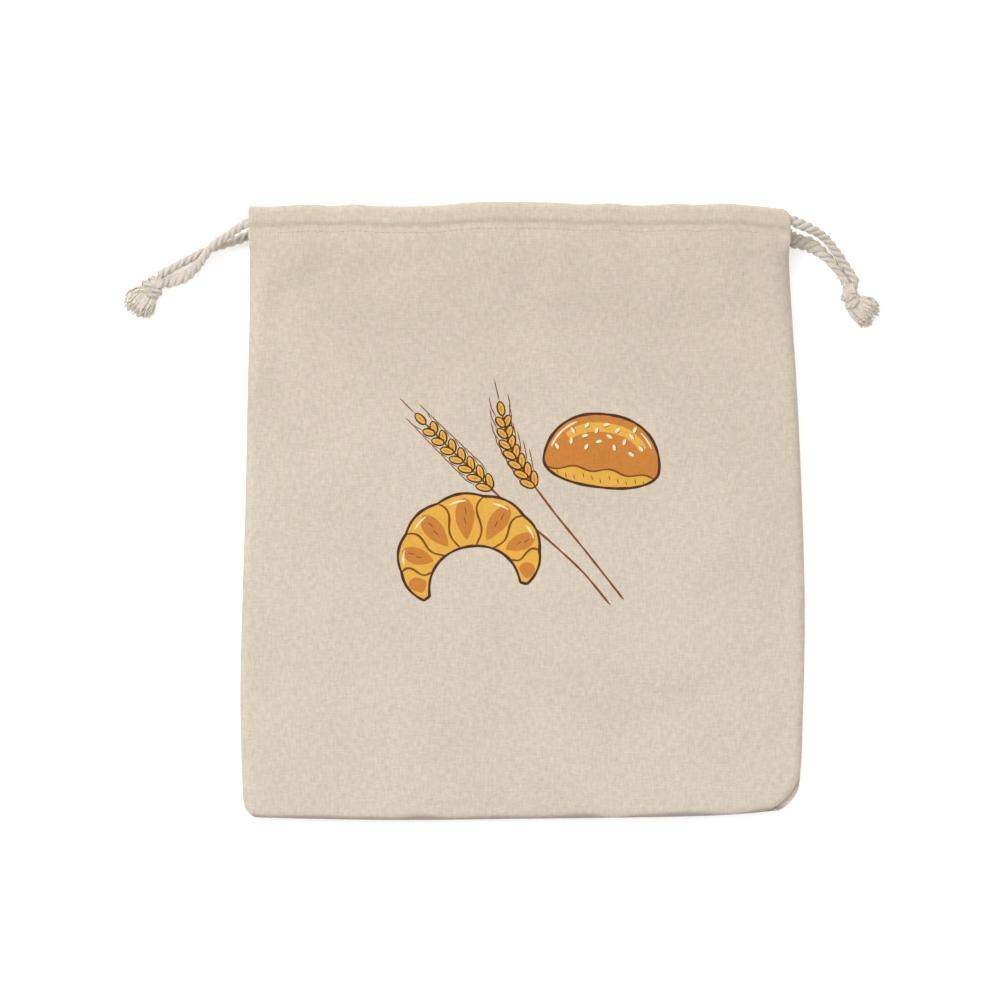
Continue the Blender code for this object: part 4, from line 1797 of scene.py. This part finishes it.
@dataclass(frozen=True)
class BunMotif:
    """A round seeded bun, seen from the side."""

    pen: Pen = Pen(42.0, 25.0, -7.0, seed=2)
    half_width: float = 31.0
    crown: float = 27.0
    base: float = 12.0
    waist: float = -3.0
    seeds: int = 17

    def edge(self, shrink: float = 0.0) -> np.ndarray:
        """The bun's outline, drawn in by a distance."""
        around = 2 * math.pi * np.arange(90) / 90
        wide = (self.half_width - shrink) * np.sign(np.cos(around)) * np.abs(np.cos(around)) ** 0.86
        rise = np.where(np.sin(around) > 0, self.crown - shrink, self.base - shrink)
        return np.stack([wide, rise * np.sin(around)], axis=-1)

    def shapes(self) -> list[InkShape]:
        """The bun's inks, from the lowest layer up."""
        pen = self.pen
        across = np.linspace(-0.93, 0.93, 30) * self.half_width
        belt = self.waist + 1.1 * np.sin(across * 0.33) - 1.5 * (across / self.half_width) ** 2
        lower = self.edge(0.4)
        lower = lower[lower[:, 1] < self.waist - 1.0]
        lower = lower[np.argsort(lower[:, 0])][::-1]
        shapes = pen.fill(self.edge(0.4), Ink.CRUST)
        shapes += pen.fill(np.concatenate([np.stack([across, belt], axis=-1), lower]), Ink.OCHRE)
        arc = self.edge(4.6)[8:36]
        shapes += pen.fill(np.concatenate([arc, (arc * np.array([0.86, 0.78]))[::-1]]), Ink.OCHRE)
        shapes += pen.stroke(self.edge(2.5)[30:42], Ink.CREAM, 1.1)
        shapes += pen.stroke(self.edge(2.5)[7:14], Ink.CREAM, 0.9)
        rng = np.random.default_rng(5)
        for k in range(self.seeds):
            lift = 0.30 + 0.56 * ((k * 0.618) % 1.0)
            spread = math.sqrt(1 - lift * lift)
            x = self.half_width * spread * (2 * (k + 0.5) / self.seeds - 1) * 0.88
            turn = float(rng.uniform(20, 160))
            seed = oval(x, self.crown * lift - 1.0, 1.9, 1.05, turn, 10)
            shapes += pen.fill(seed, Ink.CREAM)
            shapes += pen.stroke(seed[5:10], Ink.BROWN, 0.6)
        shapes += pen.stroke(np.stack([across, belt], axis=-1), Ink.BROWN, 1.0)
        for k in range(11):
            x = self.half_width * (0.15 * k - 0.75)
            foot = self.waist - 2.4 - 0.9 * (k % 3)
            shapes += pen.stroke(np.array([[x, foot], [x + 1.0, foot - 2.2 - 0.5 * (k % 2)]]), Ink.BROWN, 0.7)
        return shapes + pen.stroke(self.edge(), Ink.OUTLINE, closed=True)


@dataclass(frozen=True)
class CroissantMotif:
    """A rolled croissant with its horns down."""

    pen: Pen = Pen(-27.0, -31.0, 9.0, seed=3)
    radius: float = 26.0
    spread: float = 232.0
    thickness: float = 13.5
    rolls: int = 7

    def at(self, share: np.ndarray, out: np.ndarray | float) -> np.ndarray:
        """Points of the crescent.

        Args:
            share: share of the way from one horn to the other.
            out: from -1 at the inner edge to 1 at the outer edge.

        Returns:
            A point for each.
        """
        angle = np.radians(90 + self.spread / 2 - self.spread * share)
        middle = np.sin(np.pi * np.clip(share, 0.0, 1.0)) ** 0.85
        swell = 1 + 0.11 * np.abs(np.sin(np.pi * self.rolls * share)) * (np.asarray(out) > 0)
        reach = self.radius + np.asarray(out) * (1.6 + (self.thickness - 1.6) * middle) * swell
        return np.stack([1.12 * reach * np.cos(angle), reach * np.sin(angle)], axis=-1)

    def shapes(self) -> list[InkShape]:
        """The croissant's inks, from the lowest layer up."""
        pen = self.pen
        share = np.linspace(0.0, 1.0, 120)
        edge = np.concatenate([self.at(share, 1.0), self.at(share[::-1], -1.0)])
        shapes = pen.fill(edge, Ink.OCHRE)
        for k in range(self.rolls):
            low, high = (k + 0.30) / self.rolls, (k + 0.86) / self.rolls
            leaf = np.linspace(0.0, 1.0, 16)
            half = (high - low) / 2 * np.sin(np.pi * leaf) ** 0.6
            out = mixed(-0.72, 0.86, leaf)
            middle = (low + high) / 2 - 0.012 * (1 - leaf)
            band = np.concatenate([self.at(middle + half, out), self.at((middle - half)[::-1], out[::-1])])
            shapes += pen.fill(band, Ink.CRUST)
            spark = np.linspace((k + 0.22) / self.rolls, (k + 0.62) / self.rolls, 6)
            if 0 < k < self.rolls - 1:
                shapes += pen.stroke(self.at(spark, 0.74), Ink.CREAM, 1.1)
                ridge = np.full(5, (k + 0.52) / self.rolls)
                for lift in (0.05, 0.42):
                    reach = np.linspace(lift - 0.17, lift + 0.12, 5)
                    shapes += pen.stroke(self.at(ridge + 0.03 * lift - 0.01 * reach, reach), Ink.BROWN, 0.7)
        for k in range(1, self.rolls):
            out = np.linspace(-1.0, 1.0, 14)
            bend = k / self.rolls + 0.020 * np.sin(np.pi * out) * (1 if k < self.rolls / 2 else -1)
            shapes += pen.stroke(self.at(bend, out), Ink.BROWN, 1.15)
        return shapes + pen.stroke(edge, Ink.OUTLINE, closed=True)


@dataclass(frozen=True)
class WheatMotif:
    """A wheat ear on its bent stem, with long beards."""

    pen: Pen
    stem: tuple
    pairs: int = 7
    grain_length: float = 4.3
    grain_width: float = 1.95
    beard: float = 11.0

    def shapes(self) -> list[InkShape]:
        """The ear's inks, from the lowest layer up."""
        pen = self.pen
        line = spaced(np.array([(*point, 0.0) for point in self.stem]), 60)[:, :2]
        shapes = pen.stroke(line, Ink.BROWN, 1.15)
        ahead = unit(np.gradient(line, axis=0))
        grains = []
        for k in range(self.pairs):
            at = 38 + round(k * 21 / self.pairs)
            heading = math.degrees(math.atan2(ahead[at, 1], ahead[at, 0]))
            for side in (-1, 1):
                turn = heading + side * 31
                reach = self.grain_length * (1 - 0.035 * k)
                out = np.array([math.cos(math.radians(turn)), math.sin(math.radians(turn))])
                grains.append((line[at] + out * reach * 1.05, turn, reach))
        heading = math.degrees(math.atan2(ahead[-1, 1], ahead[-1, 0]))
        grains.append((line[-1] + ahead[-1] * 2.0, heading, self.grain_length * 0.9))
        for centre, turn, reach in grains:
            out = np.array([math.cos(math.radians(turn)), math.sin(math.radians(turn))])
            lean = np.array([math.cos(math.radians(heading)), math.sin(math.radians(heading))])
            tip = centre + out * reach
            first, last = out + lean, out + 3 * lean
            beard = np.array([tip, tip + first * self.beard * 0.27, tip + last * self.beard * 0.27])
            shapes += pen.stroke(beard, Ink.BROWN, 0.55)
        for centre, turn, reach in grains:
            grain = oval(centre[0], centre[1], reach, self.grain_width, turn, 14)
            shapes += pen.fill(grain, Ink.OCHRE)
            out = np.array([math.cos(math.radians(turn)), math.sin(math.radians(turn))])
            crease = np.array([centre - out * reach * 0.6, centre + out * reach * 0.5])
            shapes += pen.stroke(crease, Ink.CRUST, 0.9)
            shapes += pen.stroke(grain, Ink.OUTLINE, 0.85, closed=True)
        return shapes


@dataclass(frozen=True)
class BakingPrint:
    """The print on the front: two wheat ears, a croissant and a seeded bun, drawn by formula."""

    low: tuple[float, float] = (-80.0, -60.0)
    high: tuple[float, float] = (88.0, 74.0)
    motifs: tuple = (
        WheatMotif(
            Pen(0.0, 0.0, seed=5),
            ((47.0, -50.0), (30.0, -30.0), (-8.0, 4.0), (-36.0, 31.0), (-53.0, 48.0)),
        ),
        WheatMotif(
            Pen(0.0, 0.0, seed=6),
            ((54.0, -47.0), (36.0, -24.0), (12.0, 6.0), (-6.0, 33.0), (-11.0, 53.0)),
        ),
        CroissantMotif(),
        BunMotif(),
    )

    def shapes(self) -> list[InkShape]:
        """Every shape of the print, from the lowest layer up."""
        return [shape for motif in self.motifs for shape in motif.shapes()]

    def printed(self, draft: MeshDraft, cut: ClothCut) -> None:
        """Adds a cloth with the print in its right side.

        Args:
            draft: the mesh that takes it.
            cut: the front cloth.
        """
        grid = cut.grid
        first_row, last_row = cut.rows_between(self.low[1], self.high[1])
        first_column, last_column = cut.columns_between(self.low[0], self.high[0])
        outer = cut.add_to(draft, (first_row, last_row, first_column, last_column))
        index = outer[first_row : last_row + 1, first_column : last_column + 1]
        flat = grid.points[first_row : last_row + 1, first_column : last_column + 1, :2]
        count_rows, count_columns = index.shape
        corners = [Vector(point) for point in flat.reshape(-1, 2).tolist()]
        border = [(r, 0) for r in range(count_rows)] + [(count_rows - 1, c) for c in range(1, count_columns)]
        border += [(r, count_columns - 1) for r in range(count_rows - 2, -1, -1)]
        border += [(0, c) for c in range(count_columns - 2, 0, -1)]
        faces = [[r * count_columns + c for r, c in border]]
        inks = [0]
        for shape in self.shapes():
            start = len(corners)
            corners += [Vector(point) for point in shape.points.tolist()]
            faces.append(list(range(start, start + len(shape.points))))
            inks.append(shape.ink.value)
        made, _, triangles, origins, _, sources = delaunay_2d_cdt(corners, [], faces, 1, 0.01)
        at = np.array([tuple(point) for point in made])
        x, y = at[:, 0], at[:, 1]
        place = np.stack([x, y, cut.shape.front_height(x, y)], axis=-1)
        start = draft.add_points(place + cut.shape.front_normal(x, y) * cut.outer_offset)
        kept = {r * count_columns + c: index[r, c] for r, c in border}
        found = [
            next((kept[origin] for origin in sources_of if origin in kept), None) for sources_of in origins
        ]
        names = [start + k if known is None else int(known) for k, known in enumerate(found)]
        for triangle, inside in zip(triangles, sources):
            slot = inks[max(inside)] if inside else 0
            draft.add_face([names[k] for k in triangle], [at[k] * MM for k in triangle], slot)


@dataclass(frozen=True)
class Studio:
    """Floor, light and camera, in metres."""

    camera_x: float = -11.73 * MM
    camera_y: float = 5.94 * MM
    camera_height: float = 3.0
    view_width: float = 533.8 * MM
    view_level: float = 7.0 * MM
    sensor: float = 36.0
    floor_size: float = 8.0
    floor_colour: tuple = (0.93, 0.93, 0.935, 1.0)
    floor_glow: float = 0.36
    sky_strength: float = 0.80
    key_power: float = 38.0
    key_size: float = 1.1
    key_place: tuple = (-1.15, 1.35, 1.9)

    def add_camera(self) -> bpy.types.Object:
        """Adds the camera straight above, as the photograph was taken.

        Returns:
            The camera.
        """
        data = bpy.data.cameras.new("camera_above")
        data.sensor_width = self.sensor
        data.lens = self.sensor * (self.camera_height - self.view_level) / self.view_width
        data.clip_end = 50.0
        camera = bpy.data.objects.new("camera_above", data)
        camera.location = (self.camera_x, self.camera_y, self.camera_height)
        bpy.context.scene.collection.objects.link(camera)
        bpy.context.scene.camera = camera
        return camera

    def add_light(self) -> None:
        """Adds an even white surround and a large soft light from the upper left."""
        world = bpy.data.worlds.new("soft_surround")
        world.use_nodes = True
        background = world.node_tree.nodes["Background"]
        background.inputs["Color"].default_value = (1.0, 1.0, 1.0, 1.0)
        background.inputs["Strength"].default_value = self.sky_strength
        bpy.context.scene.world = world
        data = bpy.data.lights.new("soft_key", "AREA")
        data.energy = self.key_power
        data.shape = "SQUARE"
        data.size = self.key_size
        key = bpy.data.objects.new("soft_key", data)
        key.location = self.key_place
        key.rotation_euler = (-Vector(self.key_place)).to_track_quat("-Z", "Y").to_euler()
        bpy.context.scene.collection.objects.link(key)

    def add_floor(self) -> bpy.types.Object:
        """Adds the pale floor.

        Returns:
            The floor.
        """
        bpy.ops.object.select_all(action="DESELECT")
        bpy.ops.mesh.primitive_plane_add(size=self.floor_size, location=(0.0, 0.0, 0.0))
        floor = bpy.context.object
        floor.name = "pale_floor"
        board = NodeBoard("pale_floor")
        settings = {
            "Base Color": self.floor_colour,
            "Roughness": 0.9,
            "Specular IOR Level": 0.1,
            "Emission Color": (1.0, 0.995, 0.98, 1.0),
            "Emission Strength": self.floor_glow,
        }
        shader = board.node("BsdfPrincipled", settings)
        board.node("OutputMaterial", {"Surface": shader.outputs[0]})
        floor.data.materials.append(board.material)
        return floor

    def build(self) -> None:
        """Sets up the whole studio with plain colour handling."""
        bpy.context.scene.view_settings.view_transform = "Standard"
        self.add_camera()
        self.add_light()
        self.add_floor()


@dataclass(frozen=True)
class HeadingStitches:
    """A row of machine stitches that holds a heading's hem, in millimetres."""

    length: float = 2.3
    pitch: float = 3.0
    thread: float = 0.42
    end_inset: float = 4.0
    sink: float = 0.06
    sides: int = 8

    def model(self) -> bpy.types.Object:
        """Models one stitch, whose rounded ends dip into the cloth.

        Returns:
            The stitch, lying along X with its middle at the origin.
        """
        radius = self.thread / 2 * MM
        bpy.ops.object.select_all(action="DESELECT")
        bpy.ops.mesh.primitive_cylinder_add(
            vertices=self.sides,
            radius=radius,
            depth=self.length * 0.6 * MM,
            end_fill_type="NGON",
            rotation=(0.0, math.pi / 2, 0.0),
        )
        stitch = bpy.context.object
        bpy.ops.object.transform_apply(location=True, rotation=True, scale=True)
        bpy.ops.object.mode_set(mode="EDIT")
        bpy.ops.mesh.select_mode(type="FACE")
        for inset, depth, dip in ((0.30, 0.12, 0.12), (0.35, 0.08, 0.20)):
            self.select_ends(stitch)
            bpy.ops.mesh.inset(thickness=inset * radius, depth=depth * self.length * MM, use_individual=True)
            bpy.ops.transform.translate(value=(0.0, 0.0, -dip * self.thread * MM))
        bpy.ops.object.mode_set(mode="OBJECT")
        return stitch

    def select_ends(self, stitch: bpy.types.Object) -> None:
        """Selects the two end faces of the stitch."""
        bpy.ops.mesh.select_all(action="DESELECT")
        mesh = bmesh.from_edit_mesh(stitch.data)
        for face in mesh.faces:
            face.select_set(len(face.verts) == self.sides)
        bmesh.update_edit_mesh(stitch.data)

    def build(self, cut: ClothCut) -> bpy.types.Object:
        """Copies the stitch along a heading.

        Args:
            cut: the cloth that it holds.

        Returns:
            The row of stitches.
        """
        stitch = self.model()
        shape = np.array([vertex.co for vertex in stitch.data.vertices]) / MM
        faces = [tuple(face.vertices) for face in stitch.data.polygons]
        bpy.data.objects.remove(stitch)
        first, last = cut.grid.flat_columns
        line = cut.right_side[cut.grid.stitch_row, first : last + 1]
        out = cut.grid.normals[cut.grid.stitch_row, first : last + 1]
        if line[0, 0] > line[-1, 0]:
            line, out = line[::-1], out[::-1]
        draft = MeshDraft()
        rng = np.random.default_rng(len(cut.panel.value))
        count = int((line[-1, 0] - line[0, 0] - 2 * self.end_inset) / self.pitch)
        for k in range(count):
            x = line[0, 0] + self.end_inset + self.pitch * (k + 0.5) + rng.uniform(-0.12, 0.12)
            middle = np.array([np.interp(x, line[:, 0], line[:, axis]) for axis in range(3)])
            upwards = unit(np.array([np.interp(x, line[:, 0], out[:, axis]) for axis in range(3)]))
            along = unit(np.cross(np.array([0.0, 1.0, 0.0]) + 0.04 * rng.standard_normal(3), upwards))
            aside = np.cross(upwards, along)
            placed = shape[:, [0]] * along + shape[:, [1]] * aside + shape[:, [2]] * upwards
            start = draft.add_points(middle + placed + upwards * (self.thread / 2 - self.sink))
            for face in faces:
                places = [(shape[corner, 0] * MM, k) for corner in face]
                draft.add_face([start + corner for corner in face], places)
        obj = draft.finished(f"heading_stitches_{cut.panel.value}", [ThreadFinish().material()])
        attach(obj, BODY)
        return obj


@dataclass(frozen=True)
class LinenBag:
    """The sewn bag: its two cloths and the stitches of their headings."""

    shape: BagShape
    stitches: HeadingStitches = HeadingStitches()

    def build(self) -> list[bpy.types.Object]:
        """Builds both cloths.

        Returns:
            Their pieces.
        """
        linen = LinenFinish().material()
        finishes = [LinenFinish(f"ink_{ink.name.lower()}", ink.colour, ink.colour, slubs=0.6) for ink in Ink]
        inks = [finish.material() for finish in finishes]
        made = []
        for panel in Panel:
            cut = ClothCut(self.shape, panel)
            draft = MeshDraft()
            if panel is Panel.FRONT:
                BakingPrint().printed(draft, cut)
                obj = draft.finished("linen_front", [linen, *inks], crease=50.0)
            else:
                cut.add_to(draft)
                obj = draft.finished("linen_back", [linen], crease=50.0)
            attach(obj, BODY)
            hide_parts(f"{panel.value}_panel")
            made.append(obj)
            made.append(self.stitches.build(cut))
        return made


def main() -> None:
    """Builds the studio, the cords and the bag in order, and reports each piece."""
    logging.basicConfig(level=logging.INFO, format="%(name)s: %(message)s")
    shape = BagShape()
    Studio().build()
    for part in (Cords(shape), LinenBag(shape)):
        for piece in part.build():
            log.info("%s: %d faces", piece.name, len(piece.data.polygons))


if __name__ == "__main__":
    main()
